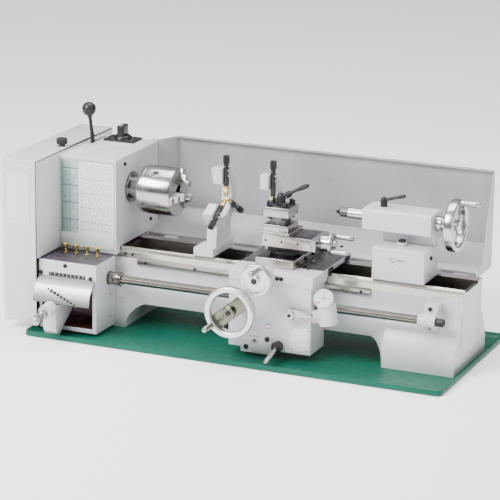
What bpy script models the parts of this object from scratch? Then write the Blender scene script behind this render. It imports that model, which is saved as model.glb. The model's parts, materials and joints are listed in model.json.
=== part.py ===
"""A bench metal lathe in metres, +Z up: +X runs along the bed to the tailstock, -Y is the operator's side.

The origin lies on the underside of the drip tray, straight below the spindle axis. Every sub-part is one
closed object; the pieces that move have their origin on their joint's axis.
"""

import math

import bmesh
import bpy
from mathutils import Matrix, Vector

# ---------------------------------------------------------------- driving dimensions
GAP = 0.0003  # clearance between pieces that seat on each other
RUN = 0.0003  # radial clearance of a shaft in its hole

TRAY_LEFT, TRAY_RIGHT = -0.417, 0.472
TRAY_FRONT, TRAY_BACK = -0.208, 0.190
TRAY_SHEET, TRAY_WALL, TRAY_LIP = 0.002, 0.004, 0.011

BED_TOP = 0.1655  # crest of the front way above the tray's underside
BED_HALF = 0.057  # half the width across the ways
BED_RIGHT = 0.460
RAIL_WIDTH = 0.024
WAY_DEPTH = 0.0075  # height of the V of the front way
WEB_BOTTOM = 0.050
FOOT_TOP = 0.030  # height below which the feet have their full width
FOOT_SHOULDER = 0.126  # height at which they run out into the web
FOOT_HALF = 0.096
LEFT_FOOT_HALF = 0.078
LEFT_FOOT_END = -0.254
RIGHT_FOOT_START, RIGHT_FOOT_END = 0.310, 0.458
ARCH_RADIUS = 0.046

RACK_LEFT, RACK_RIGHT = -0.234, 0.271
RACK_LOW, RACK_HIGH, RACK_DEPTH = 0.132, 0.145, 0.005

HEAD_LEFT, HEAD_RIGHT = -0.404, -0.275
HEAD_FRONT, HEAD_BACK = -0.074, 0.123
HEAD_TOP = 0.348
HEAD_WALL = 0.020

GEARBOX_FRONT, GEARBOX_TOP, GEARBOX_BOTTOM = -0.164, 0.152, 0.008
GEARBOX_WALL = 0.006
WINDOW_RIGHT, WINDOW_LOW, WINDOW_HIGH = -0.284, 0.016, 0.1165

COVER_LEFT, COVER_FRONT, COVER_BACK = -0.479, -0.176, 0.168
COVER_LOW, COVER_HIGH, COVER_SHEET = 0.018, 0.355, 0.0025

CENTRE_HEIGHT = 0.1121  # spindle axis above the crest of the way
AXIS_Z = BED_TOP + CENTRE_HEIGHT
SPINDLE_RADIUS, SPINDLE_BORE = 0.020, 0.010
SPINDLE_FLANGE, FLANGE_WIDTH, SPINDLE_NOSE = 0.0305, 0.0035, 0.0240
CHUCK_RADIUS, CHUCK_BACK, CHUCK_FACE = 0.050, -0.2335, -0.170
BACKPLATE_RADIUS, BACKPLATE_START = 0.0495, -0.2455
JAW_ANGLES = (193.0, 313.0, 73.0)  # from +Y towards +Z
JAW_WIDTH, JAW_INNER, JAW_OUTER, JAW_DEPTH = 0.014, 0.013, 0.048, 0.020

GEAR_MODULE = 0.0025
SPINDLE_TEETH, IDLER_TEETH, SCREW_TEETH = 24, 44, 48
GEAR_LEFT, GEAR_RIGHT = -0.419, -0.409
SPINDLE_PULLEY_RADIUS, MOTOR_PULLEY_RADIUS = 0.045, 0.022
PULLEY_LEFT, PULLEY_RIGHT = -0.454, -0.434
MOTOR_Y, MOTOR_Z, MOTOR_RADIUS, MOTOR_RIGHT = 0.134, 0.098, 0.052, -0.256
MOTOR_LEFT = -0.396
BELT_THICKNESS = 0.005

SCREW_Y, SCREW_Z, SCREW_RADIUS = -0.105, 0.112, 0.009
SCREW_END = 0.439
COUPLING_RADIUS = 0.014
BRACKET_LEFT, BRACKET_RIGHT, BUSH_RADIUS = 0.388, 0.422, 0.0115
SCREW_NECK, SCREW_COLLAR = 0.006, 0.008

SADDLE_LEFT, SADDLE_RIGHT = 0.002, 0.180
SADDLE_TOP = BED_TOP + 0.0105
APRON_FRONT, APRON_BOTTOM = -0.135, 0.018
APRON_BACK = -(BED_HALF + 0.006)
SADDLE_BACK = BED_HALF + 0.013
CARRIAGE_WHEEL_X, CARRIAGE_WHEEL_Z = 0.0315, 0.1055
WHEEL_RADIUS = 0.052
CROSS_WHEEL_RADIUS = 0.0315
CROSS_SCREW_X = 0.0815
CROSS_SCREW_Z = SADDLE_TOP - 0.0025

CROSS_LEFT, CROSS_RIGHT = 0.044, 0.124
CROSS_FRONT, CROSS_BACK = -0.102, 0.072
CROSS_THICKNESS = 0.0187
SWIVEL_X, SWIVEL_Y, SWIVEL_RADIUS = 0.088, -0.043, 0.036
COMPOUND_LEFT, COMPOUND_RIGHT = 0.048, 0.161
COMPOUND_HALF = 0.037
SWIVEL_THICKNESS, COMPOUND_THICKNESS = 0.0164, 0.024
TOOLPOST_SIDE = 0.053
POST_BASE, TOOL_SLOT, POST_CAP = 0.0145, 0.0155, 0.0195

STEADY_FACE, STEADY_THICKNESS = -0.070, 0.022
FOLLOW_FACE, FOLLOW_THICKNESS = 0.032, 0.018
FINGER_WIDTH, FINGER_DEPTH, FINGER_TIP = 0.0084, 0.009, 0.0012
FINGER_START, FINGER_END = 0.004, 0.066
LOBE_HALF = 0.010

TAIL_LEFT, TAIL_RIGHT = 0.2390, 0.381
TAIL_BASE_LEFT, TAIL_BASE_RIGHT = 0.270, 0.378
TAIL_BASE_FRONT, TAIL_BASE_BACK = -0.055, 0.027
TAIL_BASE_HEIGHT = 0.0645
TAIL_BODY_LOW, TAIL_BODY_HIGH = 0.0205, 0.0215  # below and above the spindle axis
QUILL_RADIUS, QUILL_TIP, QUILL_END = 0.011, 0.199, 0.350
TAIL_BODY_HALF = 0.032
PEDESTAL_FRONT = 0.0020
CENTRE_POINT = 0.170

GUARD_LEFT, GUARD_RIGHT = -0.249, 0.441
GUARD_BACK, GUARD_TOP, GUARD_FOLD = 0.174, 0.351, 0.198
GUARD_SHEET = 0.0015

# ---------------------------------------------------------------- scene, materials, objects


def clear_scene():
    for obj in list(bpy.data.objects):
        bpy.data.objects.remove(obj, do_unlink=True)


def make_material(name, colour, roughness, metallic):
    material = bpy.data.materials.new(name)
    material.use_nodes = True
    shader = material.node_tree.nodes["Principled BSDF"]
    shader.inputs["Base Color"].default_value = (*colour, 1.0)
    shader.inputs["Roughness"].default_value = roughness
    shader.inputs["Metallic"].default_value = metallic
    material.diffuse_color = (*colour, 1.0)
    return material


def make_materials():
    return {
        "paint": make_material("grey_paint", (0.80, 0.81, 0.83), 0.35, 0.0),
        "green": make_material("green_paint", (0.03, 0.30, 0.22), 0.4, 0.0),
        "steel": make_material("ground_steel", (0.62, 0.61, 0.58), 0.3, 1.0),
        "dark": make_material("black_oxide", (0.03, 0.03, 0.035), 0.4, 0.6),
        "chrome": make_material("polished_steel", (0.75, 0.75, 0.76), 0.15, 1.0),
        "brass": make_material("brass", (0.72, 0.55, 0.22), 0.3, 1.0),
        "black": make_material("black_plastic", (0.02, 0.02, 0.02), 0.35, 0.0),
        "rubber": make_material("belt_rubber", (0.015, 0.015, 0.015), 0.8, 0.0),
        "sheet": make_material("guard_paint", (0.70, 0.70, 0.72), 0.45, 0.0),
    }


def object_from(bm, name):
    """A new object holding this bmesh, normals outward."""
    bmesh.ops.recalc_face_normals(bm, faces=bm.faces)
    mesh = bpy.data.meshes.new(name)
    bm.to_mesh(mesh)
    bm.free()
    obj = bpy.data.objects.new(name, mesh)
    bpy.context.scene.collection.objects.link(obj)
    return obj


def finish(obj, material, origin=(0.0, 0.0, 0.0)):
    """Gives the object its material, its origin and sharp edges between smooth faces."""
    obj.data.materials.clear()
    obj.data.materials.append(material)
    place = Vector(origin)
    obj.data.transform(Matrix.Translation(-place))
    obj.location = place
    obj.data.shade_smooth()
    obj.data.set_sharp_from_angle(angle=math.radians(35))
    return obj


def helper(obj):
    """Marks an object that only cuts or joins another."""
    obj.hide_render = True
    obj.display_type = "WIRE"
    return obj


def combine(obj, other, operation):
    modifier = obj.modifiers.new(operation.lower(), "BOOLEAN")
    modifier.operation = operation
    modifier.solver = "EXACT"
    modifier.object = helper(other)


def cut(obj, *others):
    for other in others:
        combine(obj, other, "DIFFERENCE")


def join(obj, *others):
    for other in others:
        combine(obj, other, "UNION")


def settle(obj):
    """Applies the Booleans so that the origin can move without its helpers."""
    graph = bpy.context.evaluated_depsgraph_get()
    mesh = bpy.data.meshes.new_from_object(obj.evaluated_get(graph))
    used = [modifier.object for modifier in obj.modifiers if modifier.type == "BOOLEAN"]
    obj.modifiers.clear()
    obj.data = mesh
    for other in used:
        bpy.data.objects.remove(other, do_unlink=True)
    return obj


# ---------------------------------------------------------------- shapes


def box(name, low, high):
    bm = bmesh.new()
    middle = [(a + b) / 2 for a, b in zip(low, high)]
    size = [b - a for a, b in zip(low, high)]
    matrix = Matrix.Translation(middle) @ Matrix.Diagonal((*size, 1.0))
    bmesh.ops.create_cube(bm, size=1.0, matrix=matrix)
    return object_from(bm, name)


def along(axis, first, second, value):
    """A point from its two coordinates across the axis, in X, Y, Z order, and the one along it."""
    point = [first, second]
    point.insert("XYZ".index(axis), value)
    return Vector(point)


def prism(name, outline, axis, low, high):
    """An outline across the axis, drawn out from low to high."""
    bm = bmesh.new()
    corners = [bm.verts.new(along(axis, a, b, low)) for a, b in outline]
    face = bm.faces.new(corners)
    made = bmesh.ops.extrude_face_region(bm, geom=[face])
    moved = [item for item in made["geom"] if isinstance(item, bmesh.types.BMVert)]
    bmesh.ops.translate(bm, verts=moved, vec=along(axis, 0.0, 0.0, high - low))
    return object_from(bm, name)


def turned(name, profile, centre=(0.0, 0.0, 0.0), axis="X", segments=32):
    """A profile of (place along the axis, radius) points turned round the axis through the centre.

    Where the profile starts and ends at radius zero the body is solid; otherwise it closes on itself.
    """
    bm = bmesh.new()
    rings = []
    for place, radius in profile:
        if radius < 1e-9:
            rings.append([bm.verts.new(along(axis, 0.0, 0.0, place))])
            continue
        turns = [2 * math.pi * step / segments for step in range(segments)]
        rings.append([bm.verts.new(along(axis, radius * math.cos(t), radius * math.sin(t), place)) for t in turns])
    solid = len(rings[0]) == 1
    pairs = list(zip(rings, rings[1:])) if solid else list(zip(rings, rings[1:] + rings[:1]))
    for near, far in pairs:
        for step in range(segments):
            after = (step + 1) % segments
            if len(near) == 1 and len(far) == 1:
                continue
            if len(near) == 1:
                bm.faces.new((near[0], far[step], far[after]))
            elif len(far) == 1:
                bm.faces.new((near[step], far[0], near[after]))
            else:
                bm.faces.new((near[step], far[step], far[after], near[after]))
    bmesh.ops.translate(bm, verts=bm.verts, vec=Vector(centre))
    return object_from(bm, name)


def rod(name, start, end, radius, segments=16):
    """A round bar between two points."""
    start, end = Vector(start), Vector(end)
    bm = bmesh.new()
    length = (end - start).length
    turn = (end - start).to_track_quat("Z", "Y").to_matrix().to_4x4()
    matrix = Matrix.Translation((start + end) / 2) @ turn
    bmesh.ops.create_cone(
        bm, cap_ends=True, segments=segments, radius1=radius, radius2=radius, depth=length, matrix=matrix
    )
    return object_from(bm, name)


def tube(name, axis, low, high, outer, inner, centre, segments=32):
    return turned(name, [(low, outer), (high, outer), (high, inner), (low, inner)], centre, axis, segments)


def arc(centre, radius, start, end, steps):
    """Points on an arc, angles in degrees from the first coordinate towards the second."""
    angles = [math.radians(start + (end - start) * step / steps) for step in range(steps + 1)]
    return [(centre[0] + radius * math.cos(a), centre[1] + radius * math.sin(a)) for a in angles]


def turn_about_x(obj, degrees, centre_y=0.0, centre_z=AXIS_Z):
    """Turns the mesh about an axis along X; zero degrees is +Y and 90 is +Z."""
    centre = Vector((0.0, centre_y, centre_z))
    matrix = Matrix.Translation(centre) @ Matrix.Rotation(math.radians(degrees), 4, "X")
    obj.data.transform(matrix @ Matrix.Translation(-centre))
    return obj


# ---------------------------------------------------------------- tray, bed and rack


def drip_tray(materials):
    tray = box("drip_tray", (TRAY_LEFT, TRAY_FRONT, 0.0), (TRAY_RIGHT, TRAY_BACK, TRAY_LIP))
    inside_low = (TRAY_LEFT + TRAY_WALL, TRAY_FRONT + TRAY_WALL, TRAY_SHEET)
    inside_high = (TRAY_RIGHT - TRAY_WALL, TRAY_BACK - TRAY_WALL, TRAY_LIP + 0.01)
    cut(tray, box("tray_inside", inside_low, inside_high))
    return finish(settle(tray), materials["green"])


def ease(value):
    """Smooth step from 0 to 1."""
    value = min(max(value, 0.0), 1.0)
    return value * value * (3.0 - 2.0 * value)


def foot_ring(x, bottom, spread, half):
    """The foot's outline across X at one station: it widens downward by its share of the spread."""
    levels = [bottom + (FOOT_SHOULDER - bottom) * step / 8 for step in range(9)]
    widths = []
    for height in levels:
        fall = ease((FOOT_SHOULDER - height) / (FOOT_SHOULDER - FOOT_TOP))
        widths.append(BED_HALF - 0.0006 + (half - BED_HALF + 0.0006) * fall * spread)
    front = [(x, -width, height) for width, height in zip(widths, levels)]
    return front + [(x, width, height) for width, height in zip(widths[::-1], levels[::-1])]


def foot(name, outer, inner, half):
    """A foot of the bed: its inner side is the arch, and its front and back run out into the web."""
    side = 1 if inner > outer else -1
    floor = TRAY_SHEET + GAP
    stations = [(outer, floor, 1.0), ((outer + inner) / 2, floor, 1.0)]
    for step in range(9):
        turn = math.radians(90 * step / 8)
        x = inner + side * ARCH_RADIUS * (1 - math.cos(turn))
        height = floor + (WEB_BOTTOM + 0.0015 - floor) * math.sin(turn)
        stations.append((x, height, 1.0 - ease(step / 8)))
    bm = bmesh.new()
    rings = [[bm.verts.new(point) for point in foot_ring(x, low, spread, half)] for x, low, spread in stations]
    for near, far in zip(rings, rings[1:]):
        for step in range(len(near)):
            after = (step + 1) % len(near)
            bm.faces.new((near[step], near[after], far[after], far[step]))
    bm.faces.new(rings[0][::-1])
    bm.faces.new(rings[-1])
    return object_from(bm, name)


def bed_section():
    """Outline of the bed across X: a V crest on the front rail, a flat top on the back one."""
    crest = -BED_HALF + RAIL_WIDTH / 3
    shoulder = BED_TOP - WAY_DEPTH
    back_top = BED_TOP - WAY_DEPTH / 3
    return [
        (-BED_HALF, WEB_BOTTOM),
        (-BED_HALF, shoulder),
        (crest, BED_TOP),
        (crest + RAIL_WIDTH / 3, shoulder),
        (-BED_HALF + RAIL_WIDTH, shoulder),
        (BED_HALF - RAIL_WIDTH, shoulder),
        (BED_HALF - RAIL_WIDTH, back_top),
        (BED_HALF, back_top),
        (BED_HALF, WEB_BOTTOM),
    ]


def bed(materials):
    body = prism("bed", bed_section(), "X", HEAD_LEFT + 0.0017, BED_RIGHT)
    trough_low = (HEAD_RIGHT + 0.005, -BED_HALF + RAIL_WIDTH, WEB_BOTTOM + 0.012)
    trough_high = (BED_RIGHT - 0.008, BED_HALF - RAIL_WIDTH, BED_TOP + 0.01)
    left = foot("left_foot", HEAD_LEFT + 0.002, LEFT_FOOT_END, LEFT_FOOT_HALF)
    right = foot("right_foot", RIGHT_FOOT_END, RIGHT_FOOT_START, FOOT_HALF)
    join(body, left, right)
    cut(body, box("trough", trough_low, trough_high))
    return finish(settle(body), materials["paint"])


def rack(materials):
    low = (RACK_LEFT, -BED_HALF - RACK_DEPTH, RACK_LOW)
    return finish(box("rack", low, (RACK_RIGHT, -BED_HALF - GAP, RACK_HIGH)), materials["steel"])


# ---------------------------------------------------------------- headstock and drive


def headstock(materials):
    skirt = GEARBOX_TOP + GAP
    seat = BED_TOP + GAP
    outline = [
        (HEAD_FRONT, skirt),
        (-BED_HALF - GAP, skirt),
        (-BED_HALF - GAP, seat),
        (HEAD_BACK, seat),
        (HEAD_BACK, HEAD_TOP),
        (HEAD_FRONT, HEAD_TOP),
    ]
    casting = prism("headstock_casting", outline, "X", HEAD_LEFT, HEAD_RIGHT)
    cavity_low = (HEAD_LEFT + HEAD_WALL, HEAD_FRONT + HEAD_WALL, seat + HEAD_WALL)
    cavity_high = (HEAD_RIGHT - HEAD_WALL, HEAD_BACK - HEAD_WALL, HEAD_TOP - HEAD_WALL)
    bore = bearing_radius() + RUN
    centre = (0.0, 0.0, AXIS_Z)
    cut(
        casting,
        box("cavity", cavity_low, cavity_high),
        turned("bore", [(-1, 0), (-1, bore), (1, bore), (1, 0)], centre, "X", 32),
        box("lever_slot", slot_low(), slot_high()),
    )
    plate_low = (HEAD_LEFT, COVER_FRONT + COVER_SHEET + 0.001, GEARBOX_TOP + 0.002)
    plate_high = (HEAD_LEFT + GUARD_PLATE, COVER_BACK - COVER_SHEET - 0.001, COVER_HIGH - COVER_SHEET - 0.001)
    plate = box("gear_guard_plate", plate_low, plate_high)
    seat_low = (HEAD_LEFT - 0.01, -BED_HALF - GAP, GEARBOX_TOP - 0.01)
    cut(plate, box("bed_clearance", seat_low, (HEAD_LEFT + 0.01, BED_HALF + GAP, BED_TOP + GAP)))
    cut(plate, shaft_clearance())
    join(casting, switch_seat(), settle(plate))
    return finish(settle(casting), materials["paint"])


GUARD_PLATE = 0.0022  # thickness of the headstock's plate behind the change gears


def shaft_clearance():
    """Keeps the plate off the spindle's bore."""
    bore = bearing_radius() + RUN
    return turned("plate_bore", [(-1, 0), (-1, bore), (1, bore), (1, 0)], (0.0, 0.0, AXIS_Z), "X", 32)


LEVER_X, LEVER_PIVOT_Y, LEVER_PIVOT_Z = -0.392, 0.066, 0.300
LEVER_BALL_Y, LEVER_BALL_Z, LEVER_BALL_RADIUS = 0.038, 0.421, 0.0145


def slot_low():
    return (LEVER_X - 0.005, LEVER_PIVOT_Y - 0.024, LEVER_PIVOT_Z - 0.012)


def slot_high():
    return (LEVER_X + 0.005, LEVER_PIVOT_Y + 0.054, HEAD_TOP + 0.01)


def belt_lever(materials):
    pivot = (LEVER_X, LEVER_PIVOT_Y, LEVER_PIVOT_Z)
    hub = rod("belt_lever", (LEVER_X - 0.0047, *pivot[1:]), (LEVER_X + 0.0047, *pivot[1:]), 0.009)
    ball_centre = Vector((LEVER_X, LEVER_BALL_Y, LEVER_BALL_Z))
    join(hub, rod("stem", pivot, ball_centre, 0.0045, 12))
    profile = [(-math.cos(t), math.sin(t)) for t in (math.pi * step / 8 for step in range(9))]
    profile = [(place * LEVER_BALL_RADIUS, radius * LEVER_BALL_RADIUS) for place, radius in profile]
    profile[0] = (profile[0][0], 0.0)
    profile[-1] = (profile[-1][0], 0.0)
    join(hub, turned("ball", profile, ball_centre, "Z", 16))
    return finish(settle(hub), materials["black"], pivot)


def bearing_radius():
    return SPINDLE_RADIUS + 0.012


def bearings(materials):
    made = []
    for name, low in (("spindle_bearing_front", HEAD_RIGHT - 0.016), ("spindle_bearing_rear", HEAD_LEFT + 0.002)):
        inner = SPINDLE_RADIUS + RUN
        ring = tube(name, "X", low, low + 0.014, bearing_radius(), inner, (0.0, 0.0, AXIS_Z), 32)
        made.append(finish(ring, materials["steel"]))
    return made


def spindle(materials):
    left, flange = COVER_LEFT + 0.008, HEAD_RIGHT + GAP
    profile = [
        (left, SPINDLE_BORE),
        (left, SPINDLE_RADIUS),
        (flange, SPINDLE_RADIUS),
        (flange, SPINDLE_FLANGE),
        (flange + FLANGE_WIDTH, SPINDLE_FLANGE),
        (flange + FLANGE_WIDTH, SPINDLE_NOSE),
        (BACKPLATE_START - GAP, SPINDLE_NOSE),
        (BACKPLATE_START - GAP, SPINDLE_BORE),
    ]
    body = turned("spindle", profile, (0.0, 0.0, AXIS_Z), "X", 32)
    return finish(body, materials["steel"], (0.0, 0.0, AXIS_Z))


def chuck_backplate(materials):
    ring = tube(
        "chuck_backplate", "X", BACKPLATE_START, CHUCK_BACK - GAP, BACKPLATE_RADIUS, SPINDLE_BORE,
        (0.0, 0.0, AXIS_Z), 40,
    )
    return finish(ring, materials["chrome"], (0.0, 0.0, AXIS_Z))


def chuck_body(materials):
    centre = (0.0, 0.0, AXIS_Z)
    body = tube("chuck_body", "X", CHUCK_BACK, CHUCK_FACE, CHUCK_RADIUS, SPINDLE_BORE, centre, 40)
    half = JAW_WIDTH / 2 + GAP
    slot_floor = CHUCK_FACE - JAW_DEPTH - GAP
    for number, angle in enumerate(JAW_ANGLES, 1):
        low = (slot_floor, SPINDLE_BORE * 0.6, AXIS_Z - half)
        high = (CHUCK_FACE + 0.01, CHUCK_RADIUS + 0.01, AXIS_Z + half)
        cut(body, turn_about_x(box(f"slot_{number}", low, high), angle))
    return finish(settle(body), materials["chrome"], centre)


def chuck_jaw(materials, number, angle):
    """A stepped jaw drawn for +Y and turned to its slot."""
    third = (JAW_OUTER - JAW_INNER) / 3
    outline = [
        (CHUCK_FACE - JAW_DEPTH, JAW_INNER),
        (CHUCK_FACE + 0.022, JAW_INNER),
        (CHUCK_FACE + 0.022, JAW_INNER + third),
        (CHUCK_FACE + 0.014, JAW_INNER + third),
        (CHUCK_FACE + 0.014, JAW_INNER + 2 * third),
        (CHUCK_FACE + 0.006, JAW_INNER + 2 * third),
        (CHUCK_FACE + 0.006, JAW_OUTER),
        (CHUCK_FACE - JAW_DEPTH, JAW_OUTER),
    ]
    half = JAW_WIDTH / 2
    jaw = prism(f"chuck_jaw_{number}", outline, "Z", AXIS_Z - half, AXIS_Z + half)
    return finish(turn_about_x(jaw, angle), materials["steel"], (0.0, 0.0, AXIS_Z))


def gear(name, teeth, bore, centre, phase):
    """A straight-cut gear across X; phase is the angle of one tooth, from +Y towards +Z."""
    pitch = GEAR_MODULE * teeth / 2
    root, tip = pitch - 1.2 * GEAR_MODULE, pitch + 0.9 * GEAR_MODULE
    step = 2 * math.pi / teeth
    outline = []
    for tooth in range(teeth):
        middle = phase + tooth * step
        for radius, offset in ((root, -0.30), (tip, -0.13), (tip, 0.13), (root, 0.30)):
            angle = middle + offset * step
            outline.append((centre[0] + radius * math.cos(angle), centre[1] + radius * math.sin(angle)))
    body = prism(name, outline, "X", GEAR_LEFT, GEAR_RIGHT)
    cut(body, turned("bore", [(-1, 0), (-1, bore), (1, bore), (1, 0)], (0.0, *centre), "X", 24))
    return settle(body)


def idler_centre():
    """Where the idler meshes with both its neighbours, on the operator's side of the line between them."""
    play = 0.0002
    near = GEAR_MODULE * (SPINDLE_TEETH + IDLER_TEETH) / 2 + play
    far = GEAR_MODULE * (SCREW_TEETH + IDLER_TEETH) / 2 + play
    line = Vector((SCREW_Y, SCREW_Z - AXIS_Z))
    span = line.length
    reach = (near**2 - far**2 + span**2) / (2 * span)
    rise = math.sqrt(max(near**2 - reach**2, 0.0))
    unit = line.normalized()
    side = Vector((unit.y, -unit.x))
    return Vector((0.0, AXIS_Z)) + unit * reach + side * rise


def change_gears(materials):
    """Three gears in mesh: on the spindle, on the banjo's stud and on the leadscrew."""
    screw_centre = Vector((SCREW_Y, SCREW_Z))
    spindle_centre = Vector((0.0, AXIS_Z))
    idler = idler_centre()
    first = math.atan2(*(idler - spindle_centre).yx)
    second = math.atan2(*(screw_centre - idler).yx)
    idler_step, screw_step = 2 * math.pi / IDLER_TEETH, 2 * math.pi / SCREW_TEETH
    idler_phase = first + math.pi + idler_step / 2
    part = ((second - idler_phase) / idler_step) % 1.0
    screw_phase = second + math.pi + (part + 0.5) * screw_step
    made = gear("spindle_gear", SPINDLE_TEETH, SPINDLE_RADIUS + RUN, spindle_centre, first)
    finish(made, materials["steel"], (0.0, *spindle_centre))
    made = gear("idler_gear", IDLER_TEETH, STUD_RADIUS + RUN, idler, idler_phase)
    finish(made, materials["steel"], (0.0, *idler))
    made = gear("leadscrew_gear", SCREW_TEETH, SCREW_RADIUS + RUN, screw_centre, screw_phase)
    finish(made, materials["steel"], (0.0, *screw_centre))


STUD_RADIUS = 0.006


def gear_banjo(materials):
    """The slotted arm that holds the idler's stud, round the leadscrew's shaft."""
    low, high = GEAR_RIGHT + GAP, HEAD_LEFT - GAP
    idler = idler_centre()
    screw = Vector((SCREW_Y, SCREW_Z))
    line = (idler - screw).normalized()
    side = Vector((-line.y, line.x)) * 0.012
    corners = [screw + side, screw - side, idler - side + line * 0.012, idler + side + line * 0.012]
    arm = prism("gear_banjo", [tuple(corner) for corner in corners], "X", low, high)
    join(arm, rod("eye", (low, *screw), (high, *screw), 0.018, 24))
    join(arm, rod("stud", (GEAR_LEFT - 0.003, *idler), (high - 0.001, *idler), STUD_RADIUS, 16))
    hole = SCREW_RADIUS + RUN
    cut(arm, turned("hole", [(-1, 0), (-1, hole), (1, hole), (1, 0)], (0.0, *screw), "X", 16))
    return finish(settle(arm), materials["steel"])


def spindle_pulley(materials):
    ring = tube(
        "spindle_pulley", "X", PULLEY_LEFT, PULLEY_RIGHT, SPINDLE_PULLEY_RADIUS, SPINDLE_RADIUS + RUN,
        (0.0, 0.0, AXIS_Z), 32,
    )
    return finish(ring, materials["steel"], (0.0, 0.0, AXIS_Z))


def motor_pulley(materials):
    """The small pulley with the motor's shaft."""
    profile = [
        (PULLEY_LEFT, 0.0),
        (PULLEY_LEFT, MOTOR_PULLEY_RADIUS),
        (PULLEY_RIGHT, MOTOR_PULLEY_RADIUS),
        (PULLEY_RIGHT, SCREW_RADIUS),
        (MOTOR_LEFT - GAP, SCREW_RADIUS),
        (MOTOR_LEFT - GAP, 0.0),
    ]
    centre = (0.0, MOTOR_Y, MOTOR_Z)
    return finish(turned("motor_pulley", profile, centre, "X", 24), materials["steel"], centre)


def belt_loop(extra, steps):
    """Both pulleys' rims and the straight runs between them, this far outside the pulleys."""
    big, small = Vector((0.0, AXIS_Z)), Vector((MOTOR_Y, MOTOR_Z))
    line = small - big
    heading = math.degrees(math.atan2(line.y, line.x))
    lean = math.degrees(math.acos((SPINDLE_PULLEY_RADIUS - MOTOR_PULLEY_RADIUS) / line.length))
    points = arc(big, SPINDLE_PULLEY_RADIUS + extra, heading + lean, heading + 360 - lean, steps)
    points += arc(small, MOTOR_PULLEY_RADIUS + extra, heading - lean, heading + lean, steps // 2)
    return points


def drive_belt(materials):
    low, high = PULLEY_LEFT + 0.004, PULLEY_RIGHT - 0.004
    outer, inner = belt_loop(GAP * 2 + BELT_THICKNESS, 24), belt_loop(GAP * 2, 24)
    bm = bmesh.new()
    rings = []
    for outline, place in ((outer, low), (outer, high), (inner, high), (inner, low)):
        rings.append([bm.verts.new(along("X", a, b, place)) for a, b in outline])
    count = len(outer)
    for near, far in zip(rings, rings[1:] + rings[:1]):
        for step in range(count):
            after = (step + 1) % count
            bm.faces.new((near[step], near[after], far[after], far[step]))
    return finish(object_from(bm, "drive_belt"), materials["rubber"])


def motor(materials):
    centre = (0.0, MOTOR_Y, MOTOR_Z)
    profile = [
        (MOTOR_LEFT, 0.0),
        (MOTOR_LEFT, MOTOR_RADIUS - 0.006),
        (MOTOR_LEFT + 0.006, MOTOR_RADIUS),
        (MOTOR_RIGHT - 0.006, MOTOR_RADIUS),
        (MOTOR_RIGHT, MOTOR_RADIUS - 0.006),
        (MOTOR_RIGHT, 0.0),
    ]
    body = turned("motor", profile, centre, "X", 32)
    low = (MOTOR_LEFT + 0.030, BED_HALF + GAP, FOOT_SHOULDER + 0.003)
    high = (MOTOR_RIGHT - 0.030, MOTOR_Y - MOTOR_RADIUS * 0.6, FOOT_SHOULDER + 0.028)
    join(body, box("mount_plate", low, high))
    return finish(settle(body), materials["paint"])


def cord_gland(materials):
    """The strain relief's seat on the back of the headstock."""
    start = HEAD_BACK + GAP
    profile = [(start, 0.0), (start, 0.012), (start + 0.004, 0.012), (start + 0.004, 0.009)]
    profile += [(start + 0.016, 0.007), (start + 0.016, 0.004), (start + 0.008, 0.004), (start + 0.008, 0.0)]
    gland = turned("cord_gland", profile, (-0.340, 0.0, 0.215), "Y", 16)
    return finish(gland, materials["black"])


def switch_seat():
    """The raised seat of the rotary switch, part of the headstock's top."""
    return box("switch_seat", (-0.377, 0.076, HEAD_TOP - 0.004), (-0.311, HEAD_BACK - 0.004, HEAD_TOP + 0.0035))


def switch_knob(materials):
    centre = (-0.344, 0.098)
    low = HEAD_TOP + 0.0035 + GAP
    base = turned("switch_knob", [(low, 0.0), (low, 0.019), (low + 0.006, 0.017), (low + 0.006, 0.0)],
                  (*centre, 0.0), "Z", 24)
    grip_low = (centre[0] - 0.0085, centre[1] - 0.0165, low + 0.004)
    join(base, box("grip", grip_low, (centre[0] + 0.0085, centre[1] + 0.0165, low + 0.029)))
    return finish(settle(base), materials["black"], (*centre, 0.0))


# ---------------------------------------------------------------- end cover


def end_cover(materials):
    right = HEAD_LEFT - GAP
    shell = box("end_cover", (COVER_LEFT, COVER_FRONT, COVER_LOW), (right, COVER_BACK, COVER_HIGH))
    wall = COVER_SHEET
    low = (COVER_LEFT + wall, COVER_FRONT + wall, COVER_LOW + wall)
    high = (right + 0.01, COVER_BACK - wall, COVER_HIGH - wall)
    cut(shell, box("cover_inside", low, high))
    return finish(settle(shell), materials["paint"])


def end_cover_knob(materials):
    low = COVER_HIGH + GAP
    centre = (-0.418, -0.033, 0.0)
    profile = [(low, 0.0), (low, 0.007), (low + 0.004, 0.007), (low + 0.005, 0.011)]
    profile += [(low + 0.014, 0.011), (low + 0.016, 0.009), (low + 0.016, 0.0)]
    return finish(turned("end_cover_knob", profile, centre, "Z", 20), materials["black"], centre)


# ---------------------------------------------------------------- feed gearbox


def gearbox_back():
    return -LEFT_FOOT_HALF - GAP


def gearbox_housing(materials):
    left, right, wall = HEAD_LEFT, HEAD_RIGHT, GEARBOX_WALL
    low = (left, GEARBOX_FRONT, GEARBOX_BOTTOM)
    shell = box("gearbox_housing", low, (right, gearbox_back(), GEARBOX_TOP))
    inside_low = (left + wall, GEARBOX_FRONT + wall, GEARBOX_BOTTOM + wall)
    inside_high = (right - wall, gearbox_back() - wall * 0.5, GEARBOX_TOP - wall)
    window_low = (left + wall, GEARBOX_FRONT - 0.01, WINDOW_LOW)
    window_high = (WINDOW_RIGHT, GEARBOX_FRONT + wall + 0.01, WINDOW_HIGH)
    hole = SCREW_RADIUS + RUN
    cut(
        shell,
        box("gearbox_inside", inside_low, inside_high),
        box("window", window_low, window_high),
        turned("shaft_hole", [(-1, 0), (-1, hole), (1, hole), (1, 0)], (0.0, SCREW_Y, SCREW_Z), "X", 16),
    )
    return finish(settle(shell), materials["paint"])


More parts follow.
